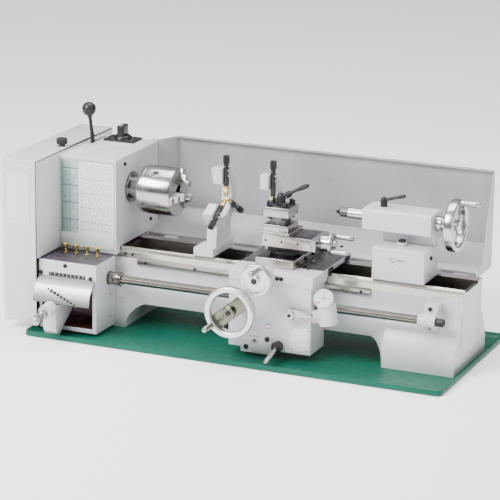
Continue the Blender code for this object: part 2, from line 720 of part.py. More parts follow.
def gearbox_face_plate(materials):
    """The bowed plate over the upper window, which the tumbler's plunger rides on."""
    front = GEARBOX_FRONT - GAP
    high, low = WINDOW_HIGH + 0.001, WINDOW_LOW + 0.056
    inner = [(front, high), (front - 0.012, high - 0.010), (front - 0.023, high - 0.023), (front - 0.030, low)]
    outer = [(y - 0.0022, z + 0.0018) for y, z in inner]
    outer[-1] = (outer[-1][0], low)
    plate = prism("gearbox_face_plate", inner + outer[::-1], "X", HEAD_LEFT + 0.002, WINDOW_RIGHT + 0.008)
    return finish(plate, materials["steel"])


CONE_STEPS = 6


def gearbox_cone(materials):
    """The stack of gears on the leadscrew's shaft inside the gearbox, as plain steps."""
    low, high = HEAD_LEFT + GEARBOX_WALL + 0.004, HEAD_RIGHT - GEARBOX_WALL - 0.004
    width = (high - low) / CONE_STEPS
    space = gearbox_back() - GEARBOX_WALL * 0.5 - SCREW_Y
    largest = space - 0.0015
    inner = SCREW_RADIUS + RUN
    profile = [(low, inner)]
    for step in range(CONE_STEPS):
        radius = largest - 0.0016 * step
        profile += [(low + step * width, radius), (low + (step + 1) * width, radius)]
    profile += [(high, inner)]
    centre = (0.0, SCREW_Y, SCREW_Z)
    return finish(turned("gearbox_cone", profile, centre, "X", 24), materials["steel"], centre)


TUMBLER_X, TUMBLER_Y, TUMBLER_Z, TUMBLER_TILT = -0.359, -0.182, 0.066, 8.0
PLUNGER_REACH = 0.090  # end of its grip from the lever's boss


def tumbler_line(distance):
    """A point on the plunger's axis, this far out from the lever's round boss."""
    tilt = math.radians(TUMBLER_TILT)
    return Vector((TUMBLER_X, TUMBLER_Y - distance * math.cos(tilt), TUMBLER_Z - distance * math.sin(tilt)))


def tumbler_lever(materials):
    """Arm from inside the gearbox to a round boss with the finger fin under it."""
    width = 0.028
    arm = [
        (GEARBOX_FRONT + 0.030, 0.044),
        (GEARBOX_FRONT + 0.030, TUMBLER_Z + 0.003),
        (TUMBLER_Y - 0.020, TUMBLER_Z + 0.003),
        (TUMBLER_Y - 0.025, TUMBLER_Z - 0.005),
        (TUMBLER_Y - 0.025, 0.042),
        (TUMBLER_Y - 0.023, 0.020),
        (TUMBLER_Y - 0.017, 0.0075),
        (TUMBLER_Y - 0.006, 0.0060),
        (GEARBOX_FRONT - 0.004, 0.024),
    ]
    lever = prism("tumbler_lever", arm, "X", TUMBLER_X - width / 2, TUMBLER_X + width / 2)
    join(lever, rod("boss", tumbler_line(0.018), tumbler_line(0.044), 0.0145, 20))
    bore = rod("plunger_hole", tumbler_line(0.022), tumbler_line(0.07), 0.0065 + RUN, 16)
    cut(lever, bore)
    return finish(settle(lever), materials["paint"], (TUMBLER_X, TUMBLER_Y, TUMBLER_Z))


def tumbler_plunger(materials):
    shaft = rod("tumbler_plunger", tumbler_line(0.024), tumbler_line(0.060), 0.0065, 16)
    join(shaft, rod("grip", tumbler_line(0.050), tumbler_line(PLUNGER_REACH), 0.0105, 20))
    return finish(settle(shaft), materials["steel"], tumbler_line(0.0))


# ---------------------------------------------------------------- leadscrew


def leadscrew(materials):
    right = HEAD_RIGHT + GAP
    profile = [
        (GEAR_LEFT - 0.004, 0.0),
        (GEAR_LEFT - 0.004, SCREW_RADIUS),
        (right, SCREW_RADIUS),
        (right, COUPLING_RADIUS),
        (right + 0.029, COUPLING_RADIUS),
        (right + 0.029, SCREW_RADIUS),
        (BRACKET_LEFT - 0.001, SCREW_RADIUS),
        (BRACKET_LEFT - 0.001, SCREW_NECK),
        (BRACKET_RIGHT + 0.001, SCREW_NECK),
        (BRACKET_RIGHT + 0.001, SCREW_COLLAR),
        (SCREW_END, SCREW_COLLAR),
        (SCREW_END, 0.0),
    ]
    centre = (0.0, SCREW_Y, SCREW_Z)
    return finish(turned("leadscrew", profile, centre, "X", 20), materials["steel"], centre)


def leadscrew_bracket(materials):
    """The outboard bush on a pad against the right foot."""
    slope = (FOOT_HALF - BED_HALF) / (FOOT_SHOULDER - FOOT_TOP)
    low, high = SCREW_Z - 0.022, SCREW_Z + 0.026
    gap = GAP * 2
    back_low = -BED_HALF - gap - max(0.0, FOOT_SHOULDER - low) * slope
    outline = [
        (-BED_HALF - gap, high),
        (-BED_HALF - gap, FOOT_SHOULDER),
        (back_low, low),
        (back_low - 0.020, low),
        (SCREW_Y + 0.003, SCREW_Z - 0.002),
        (SCREW_Y + 0.003, SCREW_Z + BUSH_RADIUS - 0.001),
        (-BED_HALF - 0.031, SCREW_Z + BUSH_RADIUS + 0.001),
        (-BED_HALF - 0.031, high),
    ]
    pad = prism("leadscrew_bracket", outline, "X", BRACKET_LEFT + 0.004, BRACKET_RIGHT - 0.003)
    join(pad, rod("bush", (BRACKET_LEFT, SCREW_Y, SCREW_Z), (BRACKET_RIGHT, SCREW_Y, SCREW_Z), BUSH_RADIUS, 24))
    hole = SCREW_NECK + RUN
    cut(pad, turned("hole", [(-1, 0), (-1, hole), (1, hole), (1, 0)], (0.0, SCREW_Y, SCREW_Z), "X", 16))
    return finish(settle(pad), materials["paint"])


# ---------------------------------------------------------------- carriage


def saddle(materials):
    apron_top = SADDLE_TOP - 0.024
    seat = BED_TOP + GAP
    outline = [
        (APRON_FRONT, apron_top),
        (-BED_HALF - RACK_DEPTH - GAP, apron_top),
        (-BED_HALF - RACK_DEPTH - GAP, seat - WAY_DEPTH),
        (-BED_HALF - GAP, seat - WAY_DEPTH),
        (-BED_HALF - GAP, seat),
        (BED_HALF + GAP, seat),
        (BED_HALF + GAP, BED_TOP - 0.020),
        (SADDLE_BACK, BED_TOP - 0.020),
        (SADDLE_BACK, SADDLE_TOP),
        (APRON_FRONT, SADDLE_TOP),
    ]
    body = prism("saddle", outline, "X", SADDLE_LEFT, SADDLE_RIGHT)
    start, end = (CROSS_SCREW_X, APRON_FRONT - 0.030, CROSS_SCREW_Z), (CROSS_SCREW_X, APRON_FRONT + 0.004, CROSS_SCREW_Z)
    join(body, rod("screw_boss", start, end, 0.015, 24))
    return finish(settle(body), materials["paint"])


def apron(materials):
    top = SADDLE_TOP - 0.024 - GAP
    left, right = SADDLE_LEFT, SADDLE_RIGHT - 0.003
    body = box("apron", (left, APRON_FRONT, APRON_BOTTOM), (right, APRON_BACK, top))
    inside = box("apron_inside", (left + 0.010, APRON_FRONT + 0.010, APRON_BOTTOM + 0.010),
                 (right - 0.010, APRON_BACK + 0.01, RACK_LOW - 0.004))
    plate = box("cover_plate", (0.030, APRON_FRONT - 0.004, 0.009), (0.097, APRON_FRONT + 0.006, 0.044))
    wheel_boss = rod("wheel_boss", (CARRIAGE_WHEEL_X, APRON_FRONT - 0.018, CARRIAGE_WHEEL_Z),
                     (CARRIAGE_WHEEL_X, APRON_FRONT + 0.004, CARRIAGE_WHEEL_Z), 0.014, 20)
    hole = SCREW_RADIUS + 0.0012
    screw = turned("screw_hole", [(-1, 0), (-1, hole), (1, hole), (1, 0)], (0.0, SCREW_Y, SCREW_Z), "X", 16)
    join(body, plate, wheel_boss)
    cut(body, inside, screw)
    return finish(settle(body), materials["paint"])


def rack_pinion(materials):
    """The small gear under the rack that moves the carriage."""
    teeth, module = 14, 0.001
    pitch = teeth * module / 2
    centre = (0.060, -BED_HALF - 0.003, RACK_LOW - pitch - 1.3 * module)
    step = 2 * math.pi / teeth
    outline = []
    for tooth in range(teeth):
        for radius, offset in ((pitch - 1.2 * module, -0.30), (pitch + module, -0.14),
                               (pitch + module, 0.14), (pitch - 1.2 * module, 0.30)):
            angle = (tooth + offset) * step
            outline.append((centre[0] + radius * math.cos(angle), centre[2] + radius * math.sin(angle)))
    pinion = prism("rack_pinion", outline, "Y", -BED_HALF - RACK_DEPTH, -BED_HALF - GAP * 2)
    start = (centre[0], SCREW_Y + SCREW_RADIUS + 0.003, centre[2])
    join(pinion, rod("pinion_shaft", start, (centre[0], -BED_HALF - 0.002, centre[2]), 0.004, 12))
    return finish(settle(pinion), materials["steel"], (centre[0], 0.0, centre[2]))


def hand_wheel(name, centre, axis, side, radius, rim, hub_reach, handle_angle, handle_length):
    """A rimmed wheel with a broad flat web, its hub and a handle standing off the rim.

    The rim's outer face lies at the centre; side is -1 when the handle points down the axis.
    """
    place = centre["XYZ".index(axis)]
    inward = -side
    flat = list(centre)
    flat["XYZ".index(axis)] = 0.0
    depth, wall = rim
    back = place + inward * depth
    body = tube(name, axis, place, back, radius, radius - wall, flat, 40)
    index = "XYZ".index(axis)
    first, second = [value for number, value in enumerate(centre) if number != index]
    turn = math.radians(handle_angle)
    heading, across = Vector((math.cos(turn), math.sin(turn))), Vector((-math.sin(turn), math.cos(turn)))
    middle = Vector((first, second))
    reach = radius - wall * 0.6
    half = radius * 0.27
    corners = [middle + heading * reach * a + across * half * b for a, b in ((-1, -1), (1, -1), (1, 1), (-1, 1))]
    web = prism("web", [tuple(corner) for corner in corners], axis, back - inward * 0.001, back - inward * 0.008)
    hub_start = along(axis, first, second, back - inward * 0.010)
    hub = rod("hub", hub_start, along(axis, first, second, back + inward * hub_reach), radius * 0.23, 20)
    grip = middle + heading * (radius - wall * 0.5)
    handle = rod(
        "handle", along(axis, *grip, place + inward * 0.003), along(axis, *grip, place + side * handle_length),
        0.0058, 12,
    )
    join(body, web, hub, handle)
    return settle(body)


def carriage_handwheel(materials):
    front = -0.205
    back = front + 0.022
    hub_reach = APRON_FRONT - 0.018 - GAP - back
    centre = (CARRIAGE_WHEEL_X, front, CARRIAGE_WHEEL_Z)
    wheel = hand_wheel("carriage_handwheel", centre, "Y", -1, WHEEL_RADIUS, (0.022, 0.0125), hub_reach, 220.0, 0.036)
    return finish(wheel, materials["chrome"], (CARRIAGE_WHEEL_X, 0.0, CARRIAGE_WHEEL_Z))


def cross_slide_handwheel(materials):
    """A solid disc with its dial collar and one handle."""
    front = -0.190
    back = APRON_FRONT - 0.030 - GAP
    centre = (CROSS_SCREW_X, 0.0, CROSS_SCREW_Z)
    profile = [
        (front - 0.006, 0.0),
        (front - 0.006, 0.009),
        (front, 0.009),
        (front, CROSS_WHEEL_RADIUS - 0.002),
        (front + 0.002, CROSS_WHEEL_RADIUS),
        (front + 0.012, CROSS_WHEEL_RADIUS),
        (front + 0.012, 0.017),
        (back, 0.017),
        (back, 0.0),
    ]
    disc = turned("cross_slide_handwheel", profile, centre, "Y", 36)
    grip = (CROSS_SCREW_X + 0.006, CROSS_SCREW_Z + 0.022)
    join(disc, rod("handle", (grip[0], front + 0.002, grip[1]), (grip[0], front - 0.040, grip[1]), 0.0058, 12))
    return finish(settle(disc), materials["chrome"], centre)


def half_nut_lever(materials):
    front = APRON_FRONT - GAP
    x, z = 0.139, 0.101
    hub = rod("half_nut_lever", (x, front, z), (x, front - 0.020, z), 0.0105, 20)
    outline = [(x - 0.004, z + 0.013), (x + 0.012, z + 0.011), (x + 0.047, z + 0.006), (x + 0.047, z - 0.001)]
    outline += [(x + 0.012, z - 0.006), (x - 0.004, z - 0.006)]
    join(hub, prism("arm", outline, "Y", front - 0.017, front - 0.008))
    return finish(settle(hub), materials["chrome"], (x, 0.0, z))


def feed_lever(materials):
    front = APRON_FRONT - GAP
    x, z = 0.110, 0.030
    hub = rod("feed_lever", (x, front, z), (x, front - 0.016, z), 0.0105, 20)
    join(hub, rod("handle", (x, front - 0.012, z), (x - 0.001, front - 0.066, z - 0.018), 0.0054, 12))
    return finish(settle(hub), materials["dark"], (x, 0.0, z))


DIAL_FACE, DIAL_RADIUS = (0.207, -0.147, 0.143), 0.0195
DIAL_NORMAL = (0.15, -0.80, 0.58)  # the dial looks up at the operator
HOUSING_TOP, HOUSING_LOW = (0.2085, -0.1345, 0.129), (0.2155, -0.1365, 0.087)


def threading_dial(materials):
    """A housing beside the apron that holds the worm gear, with the tilted dial at its head."""
    face, top, low = Vector(DIAL_FACE), Vector(HOUSING_TOP), Vector(HOUSING_LOW)
    inward = -Vector(DIAL_NORMAL).normalized()
    body = rod("threading_dial", face, face + inward * 0.008, DIAL_RADIUS, 24)
    join(
        body,
        rod("neck", face + inward * 0.006, face + inward * 0.017, DIAL_RADIUS * 0.66, 20),
        rod("housing", top, low, DIAL_RADIUS * 0.95, 24),
    )
    right = SADDLE_RIGHT - 0.003 + GAP
    join(body, box("bracket", (right, APRON_FRONT + 0.0002, 0.086), (HOUSING_LOW[0] - 0.004, -0.1195, 0.110)))
    return finish(settle(body), materials["paint"], DIAL_FACE)


# ---------------------------------------------------------------- cross slide, compound and tool post


def cross_bottom():
    return SADDLE_TOP + GAP


def cross_top():
    return cross_bottom() + CROSS_THICKNESS


def cross_slide(materials):
    low = (CROSS_LEFT, CROSS_FRONT, cross_bottom())
    slab = box("cross_slide", low, (CROSS_RIGHT, CROSS_BACK, cross_top()))
    return finish(slab, materials["steel"])


def compound_base(materials):
    low = cross_top() + GAP
    centre = (SWIVEL_X, SWIVEL_Y, 0.0)
    half = SWIVEL_THICKNESS / 2
    disc = rod("compound_base", (SWIVEL_X, SWIVEL_Y, low), (SWIVEL_X, SWIVEL_Y, low + half), SWIVEL_RADIUS, 32)
    block_low = (COMPOUND_LEFT + 0.008, SWIVEL_Y - COMPOUND_HALF + 0.010, low + half - 0.002)
    block_high = (COMPOUND_RIGHT - 0.026, SWIVEL_Y + COMPOUND_HALF - 0.010, low + SWIVEL_THICKNESS)
    join(disc, box("dovetail", block_low, block_high))
    return finish(settle(disc), materials["dark"], centre)


def compound_low():
    return cross_top() + GAP * 2 + SWIVEL_THICKNESS


def compound_top():
    return compound_low() + COMPOUND_THICKNESS + 0.006


def post_x():
    return COMPOUND_LEFT + 0.002 + TOOLPOST_SIDE / 2


def post_y():
    return SWIVEL_Y - COMPOUND_HALF + TOOLPOST_SIDE / 2 + 0.0005


def compound_slide(materials):
    front, back = SWIVEL_Y - COMPOUND_HALF, SWIVEL_Y + COMPOUND_HALF
    low = compound_low()
    slab = box("compound_slide", (COMPOUND_LEFT, front, low), (COMPOUND_RIGHT, back, low + COMPOUND_THICKNESS))
    seat_right = COMPOUND_LEFT + TOOLPOST_SIDE + 0.004
    join(slab, box("post_seat", (COMPOUND_LEFT, front, low + 0.010), (seat_right, back, compound_top())))
    return finish(settle(slab), materials["steel"])


def compound_handwheel(materials):
    y, z = SWIVEL_Y, compound_low() + 0.0105
    start = COMPOUND_RIGHT + GAP
    profile = [
        (start, 0.0),
        (start, 0.0165),
        (start + 0.018, 0.0165),
        (start + 0.018, 0.022),
        (start + 0.024, 0.022),
        (start + 0.024, 0.008),
        (start + 0.030, 0.008),
        (start + 0.030, 0.0),
    ]
    wheel = turned("compound_handwheel", profile, (0.0, y, z), "X", 28)
    for number, side in enumerate((1, -1)):
        grip = (y + side * 0.0125, z + side * 0.0125)
        join(wheel, rod(f"handle_{number}", (start + 0.021, *grip), (start + 0.062, *grip), 0.0052, 12))
    return finish(settle(wheel), materials["chrome"], (0.0, y, z))


def toolpost(materials):
    """Four-way post: a base plate, a square core and a top plate that leave a slot on each side."""
    x, y, half = post_x(), post_y(), TOOLPOST_SIDE / 2
    low = compound_top() + GAP
    slot_low_z, slot_high_z = low + POST_BASE, low + POST_BASE + TOOL_SLOT
    base = box("toolpost", (x - half, y - half, low), (x + half, y + half, slot_low_z))
    core = half - 0.0105
    join(base, box("core", (x - core, y - core, slot_low_z - 0.002), (x + core, y + core, slot_high_z + 0.002)))
    join(base, box("top_plate", (x - half, y - half, slot_high_z), (x + half, y + half, slot_high_z + POST_CAP)))
    return finish(settle(base), materials["steel"], (x, y, 0.0))


def post_top():
    return compound_top() + GAP + POST_BASE + TOOL_SLOT + POST_CAP


def toolpost_lever(materials):
    x, y, low = post_x(), post_y(), post_top() + GAP
    hub = rod("toolpost_lever", (x, y, low), (x, y, low + 0.024), 0.009, 20)
    join(hub, rod("arm", (x, y, low + 0.018), (x + 0.058, y + 0.002, low + 0.0465), 0.0036, 12))
    return finish(settle(hub), materials["dark"], (x, y, 0.0))


# ---------------------------------------------------------------- rests


def finger(name, face, angle, materials, colour="dark"):
    """A bar that points at the spindle axis, with its knurled screw outside."""
    low, high = face + GAP, face + GAP + FINGER_DEPTH
    half = FINGER_WIDTH / 2
    outline = [
        (FINGER_START, -FINGER_TIP),
        (FINGER_START + 0.006, -half),
        (FINGER_END, -half),
        (FINGER_END, half),
        (FINGER_START + 0.006, half),
        (FINGER_START, FINGER_TIP),
    ]
    bar = prism(name, [(a, AXIS_Z + b) for a, b in outline], "X", low, high)
    middle = (low + high) / 2
    join(bar, rod("screw", (middle, FINGER_END - 0.004, AXIS_Z), (middle, FINGER_END + 0.008, AXIS_Z), 0.0035, 12))
    join(bar, rod("knob", (middle, FINGER_END + 0.004, AXIS_Z), (middle, FINGER_END + 0.022, AXIS_Z), 0.0066, 16))
    turn_about_x(settle(bar), angle)
    return finish(bar, materials[colour], (0.0, 0.0, AXIS_Z))


def steady_rest_frame(materials):
    """A C-shaped ring, open towards the operator, on a column and a clamped base."""
    low, high = STEADY_FACE - STEADY_THICKNESS, STEADY_FACE
    outer, inner = 0.062, 0.040
    ring = arc((0.0, AXIS_Z), outer, -158.0, 102.0, 20) + arc((0.0, AXIS_Z), inner, 102.0, -158.0, 16)
    body = prism("steady_rest_frame", ring, "X", low, high)
    seat = BED_TOP + GAP
    column = [(-0.038, seat + 0.010), (0.040, seat + 0.010), (0.034, AXIS_Z - inner - 0.010), (-0.030, AXIS_Z - inner - 0.010)]
    base = box("base", (low - 0.020, -BED_HALF + 0.004, seat), (high, BED_HALF - 0.004, seat + 0.017))
    join(body, prism("column", column, "X", low, high - 0.0006), base)
    for name, angle in (("top_lobe", 90.0), ("front_lobe", 210.0)):
        half = LOBE_HALF
        lobe = box(name, (low + 0.003, 0.030, AXIS_Z - half), (high, FINGER_END - 0.004, AXIS_Z + half))
        join(body, turn_about_x(lobe, angle))
    return finish(settle(body), materials["paint"])


def follow_rest_frame(materials):
    """An arm that rises beside the cross slide and reaches over the work."""
    low, high = FOLLOW_FACE - FOLLOW_THICKNESS, FOLLOW_FACE
    foot_z = SADDLE_TOP + GAP
    outline = [(0.018, foot_z), (0.066, foot_z), (0.066, foot_z + 0.014), (0.060, foot_z + 0.022)]
    outline += arc((0.0, AXIS_Z), 0.060, 2.0, 88.0, 8)
    outline += [(-0.013, AXIS_Z + 0.060), (-0.013, AXIS_Z + 0.030), (0.008, AXIS_Z + 0.030)]
    outline += arc((0.0, AXIS_Z), 0.037, 70.0, -2.0, 6)
    outline += [(0.037, foot_z + 0.022), (0.018, foot_z + 0.014)]
    body = prism("follow_rest_frame", outline, "X", low, high)
    return finish(body, materials["paint"])


# ---------------------------------------------------------------- tailstock


def tailstock_base(materials):
    low = BED_TOP + GAP
    top = low + TAIL_BASE_HEIGHT
    outline = [(TAIL_BASE_FRONT, low), (BED_HALF - 0.002, low), (BED_HALF - 0.002, low + 0.010)]
    outline += [(TAIL_BASE_BACK, low + 0.013), (TAIL_BASE_BACK, top), (TAIL_BASE_FRONT, top)]
    base = prism("tailstock_base", outline, "X", TAIL_BASE_LEFT, TAIL_BASE_RIGHT)
    return finish(base, materials["paint"])


def tailstock_body(materials):
    low, high = AXIS_Z - TAIL_BODY_LOW, AXIS_Z + TAIL_BODY_HIGH
    half, edge = TAIL_BODY_HALF, 0.004
    outline = [(-half, low), (half, low), (half, high - edge), (half - edge, high), (edge - half, high)]
    outline += [(-half, high - edge)]
    body = prism("tailstock_body", outline, "X", TAIL_LEFT, TAIL_RIGHT)
    seat = BED_TOP + GAP * 2 + TAIL_BASE_HEIGHT
    pedestal_low = (TAIL_BASE_LEFT + 0.001, PEDESTAL_FRONT, seat)
    pedestal = box("pedestal", pedestal_low, (TAIL_BASE_RIGHT - 0.001, TAIL_BASE_BACK - 0.0005, low + 0.004))
    join(body, pedestal)
    hole = QUILL_RADIUS + RUN
    cut(body, turned("bore", [(-1, 0), (-1, hole), (1, hole), (1, 0)], (0.0, 0.0, AXIS_Z), "X", 24))
    return finish(settle(body), materials["paint"])


def quill(materials):
    bar = rod("quill", (QUILL_TIP, 0.0, AXIS_Z), (QUILL_END, 0.0, AXIS_Z), QUILL_RADIUS, 24)
    return finish(bar, materials["chrome"], (0.0, 0.0, AXIS_Z))


def dead_centre(materials):
    profile = [(CENTRE_POINT, 0.0), (CENTRE_POINT + 0.013, 0.0075), (CENTRE_POINT + 0.013, 0.0095)]
    profile += [(QUILL_TIP - GAP, 0.0095), (QUILL_TIP - GAP, 0.0)]
    point = turned("dead_centre", profile, (0.0, 0.0, AXIS_Z), "X", 24)
    return finish(point, materials["dark"], (0.0, 0.0, AXIS_Z))


def tailstock_handwheel(materials):
    face = 0.430
    depth = 0.020
    back = face - depth
    centre = (face, 0.0, AXIS_Z)
    wheel = hand_wheel(
        "tailstock_handwheel", centre, "X", 1, WHEEL_RADIUS, (depth, 0.012), back - TAIL_RIGHT - GAP, 90.0, 0.040
    )
    dial = rod("dial", (TAIL_RIGHT + GAP, 0.0, AXIS_Z), (TAIL_RIGHT + 0.012, 0.0, AXIS_Z), 0.0150, 24)
    shaft = rod("shaft", (TAIL_RIGHT - 0.008, 0.0, AXIS_Z), (TAIL_RIGHT + 0.002, 0.0, AXIS_Z), 0.008, 16)
    join(wheel, dial, shaft)
    return finish(settle(wheel), materials["chrome"], (0.0, 0.0, AXIS_Z))


def quill_lock_lever(materials):
    x, low = 0.272, AXIS_Z + TAIL_BODY_HIGH + GAP
    hub = rod("quill_lock_lever", (x, 0.0, low), (x, 0.0, low + 0.018), 0.0072, 16)
    join(hub, rod("arm", (x, 0.0, low + 0.013), (x + 0.045, 0.0, low + 0.026), 0.0033, 12))
    return finish(settle(hub), materials["dark"], (x, 0.0, 0.0))


# ---------------------------------------------------------------- splash guard


def splash_guard(materials):
    """Folded sheet behind the bed: upright panel, sloping lower panel, front lip and two end wings."""
    sheet = GUARD_SHEET
    lip_y, lip_high, lip_low = SADDLE_BACK + 0.008, BED_TOP - 0.002, BED_TOP - 0.018
    outer = [
        (GUARD_BACK - 0.012, GUARD_TOP),
        (GUARD_BACK, GUARD_TOP),
        (GUARD_BACK, GUARD_FOLD),
        (lip_y + sheet, lip_high - 0.0005),
        (lip_y + sheet, lip_low),
    ]
    inner = [
        (lip_y, lip_low),
        (lip_y, lip_high),
        (GUARD_BACK - sheet, GUARD_FOLD + sheet),
        (GUARD_BACK - sheet, GUARD_TOP - sheet),
        (GUARD_BACK - 0.012, GUARD_TOP - sheet),
    ]
    body = prism("splash_guard", outer + inner, "X", GUARD_LEFT, GUARD_RIGHT)
    slope = outer[2:] + [(lip_y, lip_low), (lip_y, lip_high), (GUARD_BACK - sheet, GUARD_FOLD + sheet)]
    join(body, prism("lower_left", slope, "X", HEAD_RIGHT + 0.0006, GUARD_LEFT + 0.0004))
    wing = [
        (GUARD_BACK - 0.0005, GUARD_TOP - 0.0005),
        (GUARD_BACK - 0.008, GUARD_TOP - 0.0005),
        (GUARD_BACK - 0.050, GUARD_FOLD),
        (lip_y + 0.004, lip_low + 0.004),
        (GUARD_BACK - 0.0005, lip_low + 0.004),
    ]
    join(body, prism("right_wing", wing, "X", GUARD_RIGHT - sheet, GUARD_RIGHT + 0.0002))
    flange = HEAD_BACK + GAP
    left = [
        (GUARD_LEFT, GUARD_BACK - 0.0002),
        (HEAD_RIGHT, flange + 0.0018),
        (HEAD_RIGHT - 0.014, flange + 0.0018),
        (HEAD_RIGHT - 0.014, flange),
        (HEAD_RIGHT + 0.0006, flange),
        (GUARD_LEFT + 0.0018, GUARD_BACK - 0.0008),
    ]
    join(body, prism("left_wing", left, "Z", GUARD_FOLD - 0.020, GUARD_TOP - 0.0004))
    for name, start in (("left_bracket", -0.235), ("right_bracket", 0.396)):
        low = (start, BED_HALF + GAP, lip_low + 0.002)
        join(body, box(name, low, (start + 0.030, lip_y + 0.0006, lip_high - 0.003)))
    return finish(settle(body), materials["sheet"])


# ---------------------------------------------------------------- the whole machine


def build():
    clear_scene()
    materials = make_materials()
    for piece in (
        drip_tray, bed, rack, headstock, belt_lever, bearings, spindle, chuck_backplate, chuck_body,
        change_gears, gear_banjo, spindle_pulley, motor_pulley, drive_belt, motor, cord_gland,
        switch_knob, end_cover, end_cover_knob, gearbox_housing, gearbox_face_plate,
        gearbox_cone, tumbler_lever, tumbler_plunger, leadscrew, leadscrew_bracket, saddle, apron,
        rack_pinion, carriage_handwheel, cross_slide_handwheel, half_nut_lever, feed_lever,
        threading_dial, cross_slide, compound_base, compound_slide, compound_handwheel, toolpost,
        toolpost_lever, steady_rest_frame, follow_rest_frame, tailstock_base, tailstock_body, quill,
        dead_centre, tailstock_handwheel, quill_lock_lever, splash_guard,
    ):
        piece(materials)
    for number, angle in enumerate(JAW_ANGLES, 1):
        chuck_jaw(materials, number, angle)
    for number, angle in enumerate((90.0, 210.0, 330.0), 1):
        finger(f"steady_rest_finger_{number}", STEADY_FACE, angle, materials)
    for number, angle in enumerate((90.0, 0.0), 1):
        finger(f"follow_rest_finger_{number}", FOLLOW_FACE, angle, materials)


build()
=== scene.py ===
"""Visible model of a bench metal lathe, laid out as an add-on: +X along the bed, -Y the operator's side."""

import json
import math

import bmesh
import bpy
from bpy.props import FloatProperty, IntProperty, PointerProperty
from mathutils import Matrix, Vector

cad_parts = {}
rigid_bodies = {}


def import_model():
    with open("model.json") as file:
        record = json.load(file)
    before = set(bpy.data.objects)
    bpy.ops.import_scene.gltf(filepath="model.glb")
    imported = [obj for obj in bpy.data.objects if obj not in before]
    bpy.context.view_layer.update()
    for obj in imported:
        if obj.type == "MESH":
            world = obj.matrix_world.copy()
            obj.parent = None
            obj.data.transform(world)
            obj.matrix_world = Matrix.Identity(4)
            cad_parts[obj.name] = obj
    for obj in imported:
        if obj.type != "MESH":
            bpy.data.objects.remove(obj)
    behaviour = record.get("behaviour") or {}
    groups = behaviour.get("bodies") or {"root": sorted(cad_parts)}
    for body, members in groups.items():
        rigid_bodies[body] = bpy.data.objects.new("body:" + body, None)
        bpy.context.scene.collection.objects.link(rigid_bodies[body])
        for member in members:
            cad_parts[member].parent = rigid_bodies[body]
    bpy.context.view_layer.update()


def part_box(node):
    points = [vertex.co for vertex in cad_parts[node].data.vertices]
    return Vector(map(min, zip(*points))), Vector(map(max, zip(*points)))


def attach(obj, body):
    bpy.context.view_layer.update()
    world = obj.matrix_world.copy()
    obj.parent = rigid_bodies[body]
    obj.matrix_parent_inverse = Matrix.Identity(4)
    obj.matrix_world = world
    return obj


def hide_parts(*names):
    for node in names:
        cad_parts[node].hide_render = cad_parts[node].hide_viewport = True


bl_info = {
    "name": "Metal lathe",
    "version": (1, 0, 0),
    "blender": (4, 5, 0),
    "location": "3D View > Sidebar > Lathe",
    "description": "Builds the visible pieces of a bench metal lathe round its frame",
    "category": "Object",
}

AXIS_Z = 0.2776  # height of the spindle axis
SCREW_LINE = (0, -0.105, 0.112)  # a point on the leadscrew's axis
MOTOR_LINE = (0, 0.134, 0.098)
CARRIAGE_WHEEL = (0.0315, -0.205, 0.1055)  # front centre of the rim
CROSS_WHEEL = (0.0815, -0.19, 0.1735)
COMPOUND_WHEEL_Y, COMPOUND_WHEEL_Z = -0.043, 0.2225
SWITCH_X, SWITCH_Y = -0.344, 0.098
HALF_NUT_X, HALF_NUT_Z = 0.139, 0.101
APRON_FRONT = -0.1351  # just proud of the apron's face
CHUCK_BACK = -0.2335
RIGHT, LEFT, FRONT, BACK, UP = (1, 0, 0), (-1, 0, 0), (0, -1, 0), (0, 1, 0), (0, 0, 1)

# ---- shader maths


class Value:
    """A shader socket with arithmetic."""

    def __init__(self, tree, socket):
        self.tree = tree
        self.socket = socket

    def maths(self, operation, *others):
        return self.tree.make("ShaderNodeMath", {"operation": operation}, (self, *others))

    def __add__(self, other):
        return self.maths("ADD", other)

    def __sub__(self, other):
        return self.maths("SUBTRACT", other)

    def __mul__(self, other):
        return self.maths("MULTIPLY", other)

    def above(self, limit):
        return self.maths("GREATER_THAN", limit)

    def below(self, limit):
        return self.maths("LESS_THAN", limit)

    def clamp(self):
        return self.tree.make("ShaderNodeClamp", {}, (self, 0.0, 1.0))

    def fraction(self):
        return self.maths("FRACT")

    def absolute(self):
        return self.maths("ABSOLUTE")


